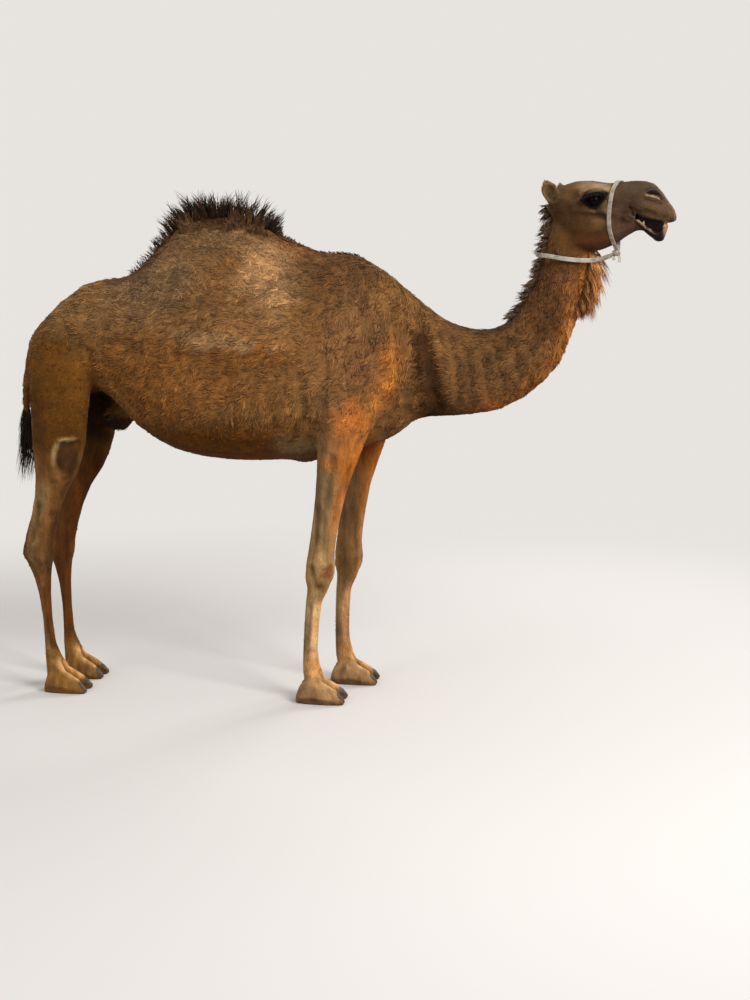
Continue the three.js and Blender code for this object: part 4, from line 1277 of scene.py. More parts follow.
def prism(name, outline, half):
    """A flat-sided solid with this outline, standing out the same half width on each side of the
    head's middle plane.
    """
    bpy.ops.object.select_all(action="DESELECT")
    bpy.ops.mesh.primitive_circle_add(vertices=len(outline), radius=0.03, fill_type="NGON")
    piece = bpy.context.object
    piece.name = piece.data.name = name
    for point, (s, up) in zip(piece.data.vertices, outline):
        point.co = metres(*from_head([(s, -half, up)])[0])
    bpy.ops.object.mode_set(mode="EDIT")
    bpy.ops.mesh.select_all(action="SELECT")
    across = metres(*from_head([(0, half, 0)])[0]) - metres(*from_head([(0, -half, 0)])[0])
    bpy.ops.mesh.extrude_region_move(TRANSFORM_OT_translate={"value": across})
    bpy.ops.mesh.select_all(action="SELECT")
    bpy.ops.mesh.normals_make_consistent(inside=False)
    bpy.ops.object.mode_set(mode="OBJECT")
    return piece


def regrain(piece, size, rounds):
    """Casts a piece again in an even grain of this size in metres, and eases it."""
    grid = piece.modifiers.new("grid", "REMESH")
    grid.mode = "VOXEL"
    grid.voxel_size = size
    easing = piece.modifiers.new("ease", "SMOOTH")
    easing.iterations = rounds
    apply_all(piece)


mouth = prism("mouth_lining", MOUTH_SIDE, MOUTH_HALF)
rounding = mouth.modifiers.new("round", "BEVEL")
rounding.width = 0.009
rounding.segments = 3
rounding.limit_method = "ANGLE"
rounding.angle_limit = math.radians(50)
regrain(mouth, 0.0022, 12)
bpy.ops.object.shade_smooth()
points = read(mouth)
points += outwards(mouth) * ((grain(points, 9, 3) - 0.5) * 2.4)[:, None]
write(mouth, points)


def wet_flesh():
    look, nodes, links, shader = new_look("wet_gums")
    shader.inputs["Roughness"].default_value = 0.5
    shader.inputs["Specular IOR Level"].default_value = 0.10
    patches = noise_along(nodes, links, (0.012, 0.006, 0.006), 20)
    # The gums' near-black tones are partly painted shade of the mouth's inside.
    shades = tones(nodes, links, patches, (0.35, (0.003, 0.0015, 0.0015)),
                   (0.75, (0.014, 0.005, 0.004)))
    links.new(shades, shader.inputs["Base Color"])
    bumped(nodes, links, shader, patches, 0.4, 0.001)
    return look


mouth.data.materials.append(wet_flesh())
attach(mouth, "root")


def ivory():
    look, nodes, links, shader = new_look("worn_tooth")
    shader.inputs["Roughness"].default_value = 0.35
    stains = noise_along(nodes, links, (0.004, 0.004, 0.009), 0)
    shades = tones(nodes, links, stains, (0.0, (0.30, 0.21, 0.12)), (1.0, (0.64, 0.56, 0.42)))
    links.new(shades, shader.inputs["Base Color"])
    return look


tooth_ivory = ivory()
for side, word in ((-1, "right"), (1, "left")):
    seat = metres(*from_head([(318, side * 27, -84)])[0])
    bpy.ops.object.select_all(action="DESELECT")
    bpy.ops.mesh.primitive_uv_sphere_add(segments=20, ring_count=14, radius=0.0042, location=seat)
    tooth = bpy.context.object
    tooth.name = tooth.data.name = f"tooth_{word}"
    tooth.scale = (1.0, 0.8, 2.1)
    bpy.ops.object.transform_apply(location=True, rotation=True, scale=True)
    for point in tooth.data.vertices:
        rise = (point.co.z - seat.z) / 0.009
        narrow = 1 - 0.45 * max(0.0, rise)
        point.co.x = seat.x + (point.co.x - seat.x) * narrow + 0.0022 * rise * rise
        point.co.y = seat.y + (point.co.y - seat.y) * narrow
    bpy.ops.object.shade_smooth()
    tooth.data.materials.append(tooth_ivory)
    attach(tooth, "root")


# ---- The toe nails ----
# Each toe ends in one short blunt nail of grey-brown horn, faintly ridged and dirty in
# places. It grows from the skin of the toe, and its lower edge stays clear of the ground.
def horn():
    look, nodes, links, shader = new_look("grey_horn")
    ridges = noise_along(nodes, links, (0.0024, 0.03, 0.012), 30, 2.0)
    dirt = noise_along(nodes, links, (0.012, 0.012, 0.012), 0)
    both_marks = calc(nodes, links, "ADD", calc(nodes, links, "MULTIPLY", ridges, 0.55),
                      calc(nodes, links, "MULTIPLY", dirt, 0.45))
    shades = tones(nodes, links, both_marks, (0.30, (0.030, 0.022, 0.016)),
                   (0.72, (0.150, 0.120, 0.088)))
    links.new(shades, shader.inputs["Base Color"])
    bumped(nodes, links, shader, ridges, 0.5, 0.0008)
    shader.inputs["Roughness"].default_value = 0.5
    return look


nail_horn = horn()
for leg in ("fore", "hind"):
    for side in ("right", "left"):
        for toe in ("inner", "outer"):
            node = f"{leg}_nail_{side}_{toe}"
            nail = cast_of([node], f"horn_{leg}_{side}_{toe}")
            regrain(nail, 0.0016, 8)
            write(nail, read(nail) - (6, 0, 4))
            bpy.ops.object.shade_smooth()
            nail.data.materials.append(nail_horn)
            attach(nail, "root")
            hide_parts(node)


# ---- The halter ----
# One band of flat off-white cotton webbing goes round the nose and another round the top of
# the neck. They are tied together in a plain knot under the jaw, with two short ends.
STRAP_WIDTH = 17
STRAP_THICK = 3.0
NOSEBAND = [(218, 0, 78), (217, 26, 75), (213, 46, 62), (206, 61, 38), (200, 66, 4),
            (195, 64, -45), (195, 58, -95), (201, 45, -135), (208, 26, -163)]
NECK_BAND = [(1334, 0, 1764), (1346, -46, 1761), (1388, -74, 1755), (1440, -81, 1746),
             (1500, -79, 1740), (1560, -73, 1741), (1604, -70, 1754), (1638, -64, 1767),
             (1618, -44, 1757), (1582, 12, 1745), (1545, 56, 1741), (1495, 80, 1742),
             (1440, 83, 1747), (1388, 76, 1755), (1346, 46, 1761)]


def unit(vectors):
    return vectors / np.maximum(np.linalg.norm(vectors, axis=-1, keepdims=True), 1e-9)


def webbing_material():
    """Plain woven cotton: ribs along and picks across, grubby in places."""
    look, nodes, links, shader = new_look("cotton_webbing")
    cloth = nodes.new("ShaderNodeUVMap")
    cloth.uv_map = "weave"
    waves = []
    for direction, scale in (("X", 0.52), ("Y", 1.25)):
        wave = nodes.new("ShaderNodeTexWave")
        wave.wave_type = "BANDS"
        wave.bands_direction = direction
        wave.inputs["Scale"].default_value = scale
        wave.inputs["Distortion"].default_value = 0.25
        wave.inputs["Detail"].default_value = 1.0
        links.new(cloth.outputs["UV"], wave.inputs["Vector"])
        waves.append(wave.outputs["Fac"])
    weave = calc(nodes, links, "MULTIPLY", *waves)
    dirt = noise_along(nodes, links, (0.03, 0.03, 0.018), 0)
    soil = tones(nodes, links, dirt, (0.32, (0.40, 0.33, 0.24)), (0.60, (0.72, 0.67, 0.56)))
    shade = ranged(nodes, links, weave, 0.0, 1.0, 0.62, 1.06)
    colour_by(nodes, links, shader, soil, shade)
    bumped(nodes, links, shader, weave, 0.7, 0.0007)
    shader.inputs["Roughness"].default_value = 0.85
    shader.inputs["Sheen Weight"].default_value = 0.2
    return look


def webbing(name, path, outs, width, thick, closed):
    """A flat woven band swept along a path; outs says which way its flat side faces."""
    count = len(path)
    ahead = np.roll(path, -1, 0) - np.roll(path, 1, 0)
    if not closed:
        ahead[0], ahead[-1] = path[1] - path[0], path[-1] - path[-2]
    ahead = unit(ahead)
    outs = unit(outs - (outs * ahead).sum(1, keepdims=True) * ahead)
    across = np.cross(ahead, outs)
    rim = [(x, y) for x, y in [(-0.5, 0), (-0.47, 0.42), (-0.36, 0.5), (0, 0.56), (0.36, 0.5),
                               (0.47, 0.42), (0.5, 0), (0.47, -0.42), (0.36, -0.5), (0, -0.5),
                               (-0.36, -0.5), (-0.47, -0.42)]]
    sides = len(rim)
    points = np.concatenate([path[:, None] + across[:, None] * (x * width)
                             + outs[:, None] * (y * thick) for x, y in rim], 1)
    rows = range(count if closed else count - 1)
    quads = [(i * sides + j, i * sides + (j + 1) % sides,
              (i + 1) % count * sides + (j + 1) % sides, (i + 1) % count * sides + j)
             for i in rows for j in range(sides)]
    if not closed:
        quads.append(tuple(range(sides))[::-1])
        quads.append(tuple((count - 1) * sides + j for j in range(sides)))
    mesh = bpy.data.meshes.new(name)
    flat = points.reshape(-1, 3) / 1000 + np.array(ORIGIN)
    mesh.from_pydata(flat.tolist(), [], quads)
    band = bpy.data.objects.new(name, mesh)
    bpy.context.collection.objects.link(band)
    reach = np.concatenate([[0], np.cumsum(np.linalg.norm(np.diff(path, axis=0), axis=1))])
    layer = mesh.uv_layers.new(name="weave")
    for face in mesh.polygons:
        for loop, vertex in zip(face.loop_indices, face.vertices):
            row, corner = divmod(vertex, sides)
            along = reach[row]
            if closed and row == 0 and max(face.vertices) >= (count - 1) * sides:
                along = reach[-1] + 4
            layer.uv[loop].vector = (rim[corner][0] * width, along)
    take_up(band)
    bpy.ops.object.mode_set(mode="EDIT")
    bpy.ops.mesh.select_all(action="SELECT")
    bpy.ops.mesh.normals_make_consistent(inside=False)
    bpy.ops.object.mode_set(mode="OBJECT")
    bpy.ops.object.shade_smooth_by_angle(angle=math.radians(50))
    band.data.materials.append(cotton)
    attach(band, "root")
    return band


def closed_line(path, steps=8):
    path = np.array(path, float)
    return rounded(np.vstack([path[-2:], path, path[:2]]), steps)[2 * steps:-2 * steps - 1]


cotton = webbing_material()
nose_places = NOSEBAND + [(213, 0, -184)] + [(s, -y, z) for s, y, z in NOSEBAND[:0:-1]]
nose_line = closed_line(from_head(nose_places))
nose_middle = from_head([(205, 0, -45)])[0]
nose = webbing("noseband", nose_line, nose_line - nose_middle, STRAP_WIDTH, STRAP_THICK, True)
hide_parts("halter_noseband")
neck_line = closed_line(NECK_BAND)
neck_middle = np.array([1440, 0, 1750])
neck = webbing("neck_strap", neck_line, (neck_line - neck_middle) * (1, 1, 0),
               STRAP_WIDTH, STRAP_THICK, True)
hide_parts("halter_neck_strap")

# The knot is one bunched turn over another, pulled tight, and its two ends hang below.
knot_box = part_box("halter_knot")
knot_middle = ((np.array(knot_box[0]) + np.array(knot_box[1])) / 2 - np.array(ORIGIN)) * 1000
turn = np.linspace(0, 2 * math.pi, 72, endpoint=False)
knot_line = np.stack([(np.sin(turn) + 2 * np.sin(2 * turn)) * 4.6,
                      (np.cos(turn) - 2 * np.cos(2 * turn)) * 4.2,
                      -np.sin(3 * turn) * 5.5], 1) + knot_middle
knot = webbing("knot", knot_line, knot_line - knot_middle + (0.3, 0.2, 0.1), 11, 6.5, True)
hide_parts("halter_knot")
for i, (tip, sag) in enumerate([((12, -10, -34), 6), ((-8, -14, -26), -5)]):
    t = np.linspace(0, 1, 14)[:, None]
    end_line = knot_middle + np.array(tip) * t + np.array([sag, 2, 0]) * np.sin(t * math.pi)
    webbing(f"knot_end_{i + 1}", end_line, np.tile((0.3, -1.0, 0.2), (14, 1)), 12, 2.6, False)


# ---- The short coat ----
# Short flat hair covers the whole animal, woolly and curled over the hump, very short on
# the face, legs and feet. Each tuft is a thin closed blade rooted in the hide, lying back
# along the body over the next.
rng = np.random.default_rng(1274)
corner_points = np.empty(len(skin.data.loops), np.int32)
skin.data.loops.foreach_get("vertex_index", corner_points)
faces = corner_points.reshape(-1, 3)
map_flat = np.empty(len(skin.data.loops) * 2, np.float32)
skin.data.uv_layers["OFBake"].data.foreach_get("uv", map_flat)
face_maps = map_flat.reshape(-1, 3, 2).astype(float)
face_middles = clay[faces].mean(1)
face_edges = np.cross(clay[faces[:, 1]] - clay[faces[:, 0]], clay[faces[:, 2]] - clay[faces[:, 0]])
face_areas = np.linalg.norm(face_edges, axis=1) / 2


def roots_on(weight, spacing):
    """Evenly scattered places on the hide.

    For each it gives the place, the outward direction, the place on the hide's map, and how
    far the hide stands above its surroundings there.
    """
    share = face_areas * weight
    count = int(share.sum() / spacing ** 2 * 3.2)
    chosen = rng.choice(len(faces), count, p=share / share.sum())
    a, b = rng.random((2, count))
    over = a + b > 1
    a[over], b[over] = 1 - a[over], 1 - b[over]
    shares = np.stack([1 - a - b, a, b], 1)[:, :, None]
    places = (clay[faces[chosen]] * shares).sum(1)
    cells = np.floor(places / spacing).astype(np.int64)
    codes = (cells[:, 0] * 4001 + cells[:, 1]) * 4001 + cells[:, 2]
    first = np.unique(codes, return_index=True)[1]
    first.sort()
    ups = unit((facing[faces[chosen]] * shares).sum(1))[first]
    maps = (face_maps[chosen] * shares).sum(1)[first]
    heights = (relief[faces[chosen]] * shares[:, :, 0]).sum(1)[first]
    return places[first], ups, maps, heights


NECK_LINE = np.array([(n[0] + t[0], 0, n[2] + t[2]) for n, t in
                      zip(NAPE[3:15], [(950, 0, 1130)] + THROAT[:9] + [(1556, 0, 1740),
                                                                      (1558, 0, 1790)])]) / 2


def lie_of(p):
    """The direction in which the hair lies at each place on the animal."""
    way = np.tile((-0.88, 0.0, -0.47), (len(p), 1))

    def turn(vector, share):
        way[:] += (np.array(vector) - way) * np.clip(share, 0, 1)[:, None]

    turn((-0.45, 0, -0.89), ramp(p[:, 0], -330, -180) * ramp(-p[:, 2], -1400, -1150) * 0.6)
    turn((-0.35, 0, -0.94), ramp(p[:, 0], 420, 560) * 0.8)
    turn((-0.30, 0, -0.95), ramp(-p[:, 0], 430, 560) * ramp(-p[:, 2], -1480, -1250))
    turn((0.0, 0, -1.0), ramp(-p[:, 2], -1060, -900))
    turn((0.35, 0, -0.94), ramp(-p[:, 2], -130, -60))
    neck = ramp(p[:, 0], 860, 1000)
    gaps = ((p[:, None, ::2] - NECK_LINE[None, :, ::2]) ** 2).sum(2)
    nearest = gaps.argmin(1).clip(1, len(NECK_LINE) - 2)
    along = unit(NECK_LINE[nearest - 1] - NECK_LINE[nearest + 1])
    along[:, 2] -= 0.35
    way[:] += (along - way) * neck[:, None]
    head = head_share(p)
    h = to_head(p)
    c, s = math.cos(HEAD_TURN), math.sin(HEAD_TURN)
    turn((-0.80 * c, -0.80 * s, -0.60), head)
    turn((-0.95 * c, -0.95 * s, -0.10), head * ramp(h[:, 2], 30, 60))
    ear = ramp(-h[:, 0], -10, 6) * ramp(h[:, 2], 0, 20) * ramp(np.abs(h[:, 1]), 52, 64)
    turn((-0.55, 0, 0.83), ear)
    return way


def flat_along(ways, ups):
    """The directions laid flat on the hide."""
    return unit(ways - (ways * ups).sum(1, keepdims=True) * ups)


def hair_shapes(roots, start, end, ups, lengths, widths, waves, rings, drawn=0.0):
    """Closed three-sided blades, one to each root, that bend from start to end.

    waves holds each blade's sideways swing in mm, its turns and where the swing begins, and
    drawn is how far its tip is drawn aside, in mm, to meet its neighbours' tips.
    """
    side = unit(np.cross(start, ups))
    thick = unit(np.cross(side, start))
    swing, turns, phase = waves
    points = np.empty((len(roots), rings * 3 + 1, 3))
    corners = [(0.5, -0.12), (-0.5, -0.12), (0.0, 0.34)]
    for ring in range(rings + 1):
        t = ring / rings
        middle = roots + lengths[:, None] * (start * (t - t * t / 2) + end * (t * t / 2))
        sway = swing * t * np.sin(phase + turns * t * 2 * math.pi)
        lift = swing * t * np.cos(phase + turns * t * 2 * math.pi) * 0.5
        middle = middle + side * sway[:, None] + thick * lift[:, None] + drawn * t ** 1.5
        if ring == rings:
            points[:, -1] = middle
            continue
        girth = widths * (0.75 + 0.5 * t) * (1 - t ** 3)
        for i, (across, over) in enumerate(corners):
            points[:, ring * 3 + i] = (middle + side * (girth * across)[:, None]
                                       + thick * (girth * over)[:, None])
    return points


def blade_faces(rings):
    faces_of_one = [(0, 2, 1)]
    for ring in range(rings - 1):
        low, high = ring * 3, ring * 3 + 3
        for i in range(3):
            j = (i + 1) % 3
            faces_of_one += [(low + i, low + j, high + j), (low + i, high + j, high + i)]
    last = rings * 3 - 3
    faces_of_one += [(last + i, last + (i + 1) % 3, rings * 3) for i in range(3)]
    return np.array(faces_of_one)


def hair_piece(name, points, colours, maps, rings, lights):
    """One mesh of all these blades, coloured from root to tip, on its own share of the map."""
    count, size = points.shape[:2]
    pattern = blade_faces(rings)
    one = points[:50]
    a, b, c = (one[:, pattern[:, i]] for i in range(3))
    inside_out = np.einsum("ijk,ijk->", a, np.cross(b, c)) - np.einsum(
        "ijk,ijk->", np.repeat(one.mean(1)[:, None], len(pattern), 1), np.cross(b - a, c - a))
    if inside_out < 0:
        pattern = pattern[:, ::-1]
    corners = (np.arange(count)[:, None, None] * size + pattern[None]).reshape(-1)
    mesh = bpy.data.meshes.new(name)
    mesh.vertices.add(count * size)
    mesh.loops.add(len(corners))
    mesh.polygons.add(len(corners) // 3)
    flat = (points.reshape(-1, 3) / 1000 + np.array(ORIGIN)).astype(np.float32)
    mesh.vertices.foreach_set("co", flat.ravel())
    mesh.loops.foreach_set("vertex_index", corners.astype(np.int32))
    mesh.polygons.foreach_set("loop_start", np.arange(0, len(corners), 3, dtype=np.int32))
    mesh.update(calc_edges=True)
    mesh.polygons.foreach_set("use_smooth", np.ones(len(corners) // 3, bool))
    piece = bpy.data.objects.new(name, mesh)
    bpy.context.collection.objects.link(piece)
    t = np.minimum(np.arange(size) // 3, rings) / rings
    light = np.interp(t, np.linspace(0, 1, len(lights)), lights)
    shades = (colours[:, None, :] * light[None, :, None]).clip(0.001, 0.95).reshape(-1, 3)
    store_colour(piece, shades)
    layer = mesh.uv_layers.new(name="OFBake")
    across = np.where(np.arange(size) == size - 1, 0, np.arange(size) % 3 - 1) * 0.0012
    spots = maps[:, None, :] + np.stack([across, (t - 0.5) * 0.0026], 1)[None]
    layer.data.foreach_set("uv", spots.reshape(-1, 2)[corners].clip(0, 1).astype(np.float32).ravel())
    return piece


def hair_material(name, roughness, sheen=0.15):
    """Hair takes its colour from the animal's markings, a little uneven along each tuft."""
    look, nodes, links, shader = new_look(name)
    uneven = noise_along(nodes, links, (0.006, 0.006, 0.006), 0, 2.0)
    light = ranged(nodes, links, uneven, 0.3, 0.7, 0.82, 1.18)
    colour_by(nodes, links, shader, reads(nodes, "coat_colour", "Color"), light)
    shader.inputs["Roughness"].default_value = roughness
    shader.inputs["Sheen Weight"].default_value = sheen
    shader.inputs["Sheen Roughness"].default_value = 0.4
    shader.inputs["Specular IOR Level"].default_value = 0.2
    return look


def uneven_colours(colours, spread):
    """Each tuft a little lighter, darker, warmer or greyer than its neighbours."""
    light = np.exp(rng.normal(0, spread, len(colours)))
    warm = rng.normal(0, spread * 0.22, len(colours))
    tinted = colours * light[:, None] * np.stack([1 + warm, 1 + 0 * warm, 1 - warm], 1)
    return tinted.clip(0.002, 0.95)


def locks_of(roots, size, draws, most=2):
    """Gathers the roots into locks of hair.

    Each root gets its lock's own random numbers, none beyond the most, and the way from the
    root to the lock's middle.
    """
    cells = np.floor(roots / size + 0.37).astype(np.int64)
    codes = (cells[:, 0] * 4001 + cells[:, 1]) * 4001 + cells[:, 2]
    lock, counts = np.unique(codes, return_inverse=True, return_counts=True)[1:]
    middle = np.stack([np.bincount(lock, roots[:, i]) for i in range(3)], 1) / counts[:, None]
    chance = rng.normal(0, 1, (lock.max() + 1, draws))[lock].clip(-most, most)
    return chance, middle[lock] - roots


def hair_share(p):
    """How long the body's hair is at each place, against its length on the flank."""
    share = 1 - 0.60 * ramp(-p[:, 2], -1190, -960)
    share -= 0.50 * ramp(-p[:, 0], 330, 500) * ramp(-p[:, 2], -1560, -1330)
    share -= 0.25 * ramp(p[:, 0], 470, 560) * ramp(-p[:, 2], -1330, -1180)
    return share.clip(0.36, 1)


SOFT_TIPS = (0.90, 1.05, 1.15, 1.28)
SHORT_TIPS = (0.98, 1.03, 1.08, 1.14)
MOST_TUFTS = {2: 19000, 3: 11800}     # tufts in one piece, by the rings in each tuft


def tufts(name, weight, spacing, length, width, rise, material, swing=0.6, spread=0.16,
          wander=12, rings=2, turns=0.5, gather=0.6, lock_size=2.2,
          lights=SOFT_TIPS):
    """Short coat over the faces that weight chooses, in pieces of no more tufts than allowed."""
    roots, ups, maps, heights = roots_on(weight, spacing)
    n = len(roots)
    chance, inward = locks_of(roots, spacing * lock_size, 4, 2.2)
    way = flat_along(lie_of(roots), ups)
    side = np.cross(way, ups)
    angle = np.radians(wander * (chance[:, 0] + 0.4 * rng.normal(0, 1, n))
                       + 60 * (grain(roots, 80, 11) - 0.5) + 70 * (grain(roots, 30, 12) - 0.5))
    way = way * np.cos(angle)[:, None] + side * np.sin(angle)[:, None]
    size = hair_share(roots) if rings == 3 else np.ones(n)
    lengths = length * size * np.exp(0.12 * chance[:, 1] + rng.normal(0, 0.12, n))
    stand = (rise * np.exp(0.35 * chance[:, 2])).clip(0, rise * 2.2)
    start = unit(way + ups * stand[:, None])
    end = unit(way - ups * (0.4 * stand[:, None]))
    widths = width * size ** 0.6 * (0.8 + 0.4 * rng.random(n))
    waves = (swing * size * (0.5 + rng.random(n)), turns * (1 + 0.2 * chance[:, 1]),
             np.where(chance[:, 3] > 0, 0, math.pi) + rng.normal(0, 0.5, n))
    inward -= (inward * ups).sum(1, keepdims=True) * ups
    points = hair_shapes(roots - ups * 0.9, start, end, ups, lengths, widths, waves, rings,
                         inward * gather)
    points[:, :, 2] = np.maximum(points[:, :, 2], 0.2)
    # Each lock is a little lighter or darker at random, and carries the hide's painted highlight on
    # ridges and painted shade in folds.
    light = np.exp(spread * 0.9 * chance[:, 1]) * (1 + PAINTED_RELIEF_LIGHT * heights)
    colours = uneven_colours(markings(roots) * light[:, None], spread)
    order = np.argsort(roots[:, 0], kind="stable")
    parts = np.array_split(order, math.ceil(len(order) / MOST_TUFTS[rings]))
    for i, part in enumerate(parts):
        piece = hair_piece(f"{name}_{i + 1}" if len(parts) > 1 else name, points[part],
                           colours[part], maps[part], rings, lights)
        piece.data.materials.append(material)
        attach(piece, "root")


def at_faces(mask):
    return mask.astype(float)


m = face_middles
h = to_head(m)
head_faces = head_share(m) > 0.5
ear_faces = head_faces & (h[:, 0] < 4) & (h[:, 2] > -6) & (np.abs(h[:, 1]) > 56)
h[:, 1] = np.abs(h[:, 1])
in_eye = (within(EYE_SHAPE, h, 5) > 0.1) & (h[:, 1] > 60)
in_slit = (within(NOSTRIL_SHAPE, h, 3) > 0.1) & (h[:, 1] > 20)
in_mouth = (h[:, 0] > 280) & (h[:, 1] < 34) & (h[:, 2] < -52) & (h[:, 2] > -140)
in_mouth |= (np.abs(h[:, 2] + 70) < 14) & (h[:, 0] > 258) & (h[:, 0] < 300)
on_callus = (((m - (-492, 0, 952)) / (50, 999, 76)) ** 2).sum(1) < 1
hairless = in_eye | in_slit | in_mouth
leg_faces = ~head_faces & (m[:, 2] < 930) & ~((m[:, 0] < -650) & (m[:, 2] > 850))
foot_faces = leg_faces & (m[:, 2] < 110)
tail_faces = ~head_faces & (m[:, 0] < -668 - 0.06 * (1372 - m[:, 2])) & (m[:, 2] > 900) & (
    m[:, 2] < 1385)
neck_faces = ~head_faces & (m[:, 0] > 930)
wool = ramp(m[:, 2], 1560, 1660) * ramp(-m[:, 0], -430, -330) * ramp(m[:, 0], -300, -220)
trunk_faces = ~head_faces & ~leg_faces & ~neck_faces & ~tail_faces & ~on_callus
leg_faces &= ~on_callus

short_hair = hair_material("short_hair", 0.8, 0.03)
tufts("coat_flank", trunk_faces * (1 - wool), 9.4, 33, 5.2, 0.15, short_hair, swing=6, turns=0.75,
      rings=3, spread=0.15)
tufts("coat_hump", trunk_faces * wool, 7.6, 25, 4.4, 0.30, short_hair, swing=9, wander=40,
      rings=3, turns=0.9, gather=0.8, lock_size=2.0, spread=0.16)
tufts("coat_neck", at_faces(neck_faces), 7.8, 32, 4.2, 0.17, short_hair, swing=5, turns=0.7,
      rings=3, spread=0.15)
tufts("coat_leg", leg_faces * (m[:, 2] >= 110), 7.4, 13, 2.4, 0.035, short_hair, swing=1.5,
      spread=0.07, lights=SHORT_TIPS)
tufts("coat_foot", foot_faces * (m[:, 2] > 9), 6.6, 8, 1.8, 0.035, short_hair,
      spread=0.06, lights=SHORT_TIPS)
tufts("coat_tail", at_faces(tail_faces), 6.0, 22, 2.4, 0.2, short_hair)
tufts("coat_face", head_faces * (h[:, 0] <= 236) * ~hairless * ~ear_faces, 5.0, 11, 1.8, 0.07,
      short_hair, swing=1.2, spread=0.06, lights=SHORT_TIPS)
tufts("coat_muzzle", head_faces * (h[:, 0] > 236) * ~hairless, 4.9, 5.2, 1.0, 0.06, short_hair,
      swing=0.3, spread=0.05, gather=0.3, lights=SHORT_TIPS)
tufts("coat_ear", at_faces(ear_faces), 3.1, 11, 1.2, 0.22, short_hair, swing=2.0, spread=0.12)


# ---- The long hair ----
# Long dark hair stands along the hump's ridge and down the nape, a russet beard hangs from
# the throat, and a black tassel ends the tail. Each strand is one long thin closed blade.
def long_hair(name, roots, start, end, ups, maps, lengths, widths, waves, colours, rings, node,
              material, drawn=0.0, lights=(0.8, 1.0, 1.3)):
    points = hair_shapes(roots, start, end, ups, lengths, widths, waves, rings, drawn)
    piece = hair_piece(name, points, colours, maps, rings, lights)
    piece.data.materials.append(material)
    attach(piece, "root")
    if node:
        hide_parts(node)


def swings(count, low, high, turns):
    return (rng.uniform(low, high, count), rng.uniform(turns * 0.6, turns * 1.5, count),
            rng.random(count) * 2 * math.pi)


def line_at(table, x):
    table = np.array(sorted(table), float)
    return np.interp(x, table[:, 0], table[:, 1])


long_look = hair_material("long_hair", 0.65, 0.04)
CREST_TIPS = [(-262, 1722), (-212, 1775), (-140, 1850), (-107, 1900), (-84, 1955), (-40, 2000),
              (40, 2034), (150, 2014), (245, 2006), (300, 1968), (322, 1905), (350, 1862),
              (430, 1806), (520, 1766), (560, 1764), (600, 1744), (660, 1734)]
CREST_HALF = [(-262, 12), (-140, 18), (-70, 32), (60, 42), (200, 38), (310, 26), (430, 12),
              (660, 8)]

ridge = (m[:, 2] > 1640) & (m[:, 0] > -275) & (m[:, 0] < 650)
ragged = (1 + 4.0 * (grain(m, 34, 21) - 0.5)).clip(0.45, 1.6)
ridge &= np.abs(m[:, 1]) < line_at(CREST_HALF, m[:, 0]) * ragged
ridge &= face_edges[:, 2] > 0
tall = ramp(m[:, 0], -200, -60) * ramp(-m[:, 0], -330, -270)
for name, spacing, share in (("crest", 4.1, tall), ("crest_low", 5.4, 1 - tall)):
    roots, ups, maps = roots_on(ridge * share, spacing)[:3]
    n = len(roots)
    chance, inward = locks_of(roots, 17, 5)
    height = line_at(CREST_TIPS, roots[:, 0] + 10) - roots[:, 2]
    out = np.abs(roots[:, 1] / line_at(CREST_HALF, roots[:, 0]))
    edge = 1 - 0.80 * out.clip(0, 1) ** 1.2
    lengths = height * edge * (1.02 + 0.13 * chance[:, 0]) * rng.uniform(0.55, 1.08, n)
    lengths = np.clip(lengths, 18, 165)
    lean = np.interp(roots[:, 0], [-260, -80, 40, 180, 300, 360, 460],
                     [-1.2, -0.75, -0.15, 0.35, 0.9, 0.1, -1.2])
    fan = roots[:, 1] / line_at(CREST_HALF, roots[:, 0]) * 0.35
    tilt = np.stack([lean + 0.30 * chance[:, 1], fan + 0.30 * chance[:, 2], np.full(n, 1.0)], 1)
    tilt += rng.normal(0, 0.10, (n, 3))
    start = unit(unit(ups + (0, 0, 0.6)) * 0.8 + 0.45 * tilt)
    end = unit(tilt * (1.0, 1.0, 0.6))
    browner = ramp(out, 0.30, 0.85)
    base = tone("3a2413") + (tone("7a5837") - tone("3a2413")) * browner[:, None]
    colours = uneven_colours(base * np.exp(0.20 * chance[:, 4])[:, None], 0.18)
    long_hair(name, roots - ups, start, end, unit(np.cross(start, rng.normal(0, 1, (n, 3)))), maps,
              lengths, rng.uniform(2.4, 4.0, n),
              (rng.uniform(2, 7, n), 1.1 + 0.3 * chance[:, 3], chance[:, 0] * 3),
              colours, 5, "hump_crest" if name == "crest" else None, long_look,
              inward * 0.6, (1.1, 0.8, 0.75, 1.25))

# Nape mane: short stiff tufts that stand back from the neck in separate points.
nape_line = rounded(NAPE[8:], 12)
gap, along = distance_to(nape_line, m)
nape = (gap < 30) & (m[:, 0] < np.interp(m[:, 2], nape_line[:, 2], nape_line[:, 0]) + 16)
nape &= ~head_faces | (m[:, 0] < 1402)
roots, ups, maps = roots_on(at_faces(nape), 4.0)[:3]
n = len(roots)
chance, inward = locks_of(roots, 15, 4)
back = unit(ups + (-0.5, 0, -0.30))
lengths = (35 * np.exp(0.28 * chance[:, 0] + rng.normal(0, 0.16, n))).clip(13, 60)
lean = np.stack([0 * lengths, 0.28 * chance[:, 1], 0.30 * chance[:, 2]], 1)
start = unit(back + lean * 0.6 + rng.normal(0, 0.07, (n, 3)))
end = unit(back + lean + (0, 0, -0.9) + rng.normal(0, 0.16, (n, 3)))
colours = uneven_colours(np.tile(tone("634a34"), (n, 1)) * np.exp(0.2 * chance[:, 3])[:, None], 0.22)
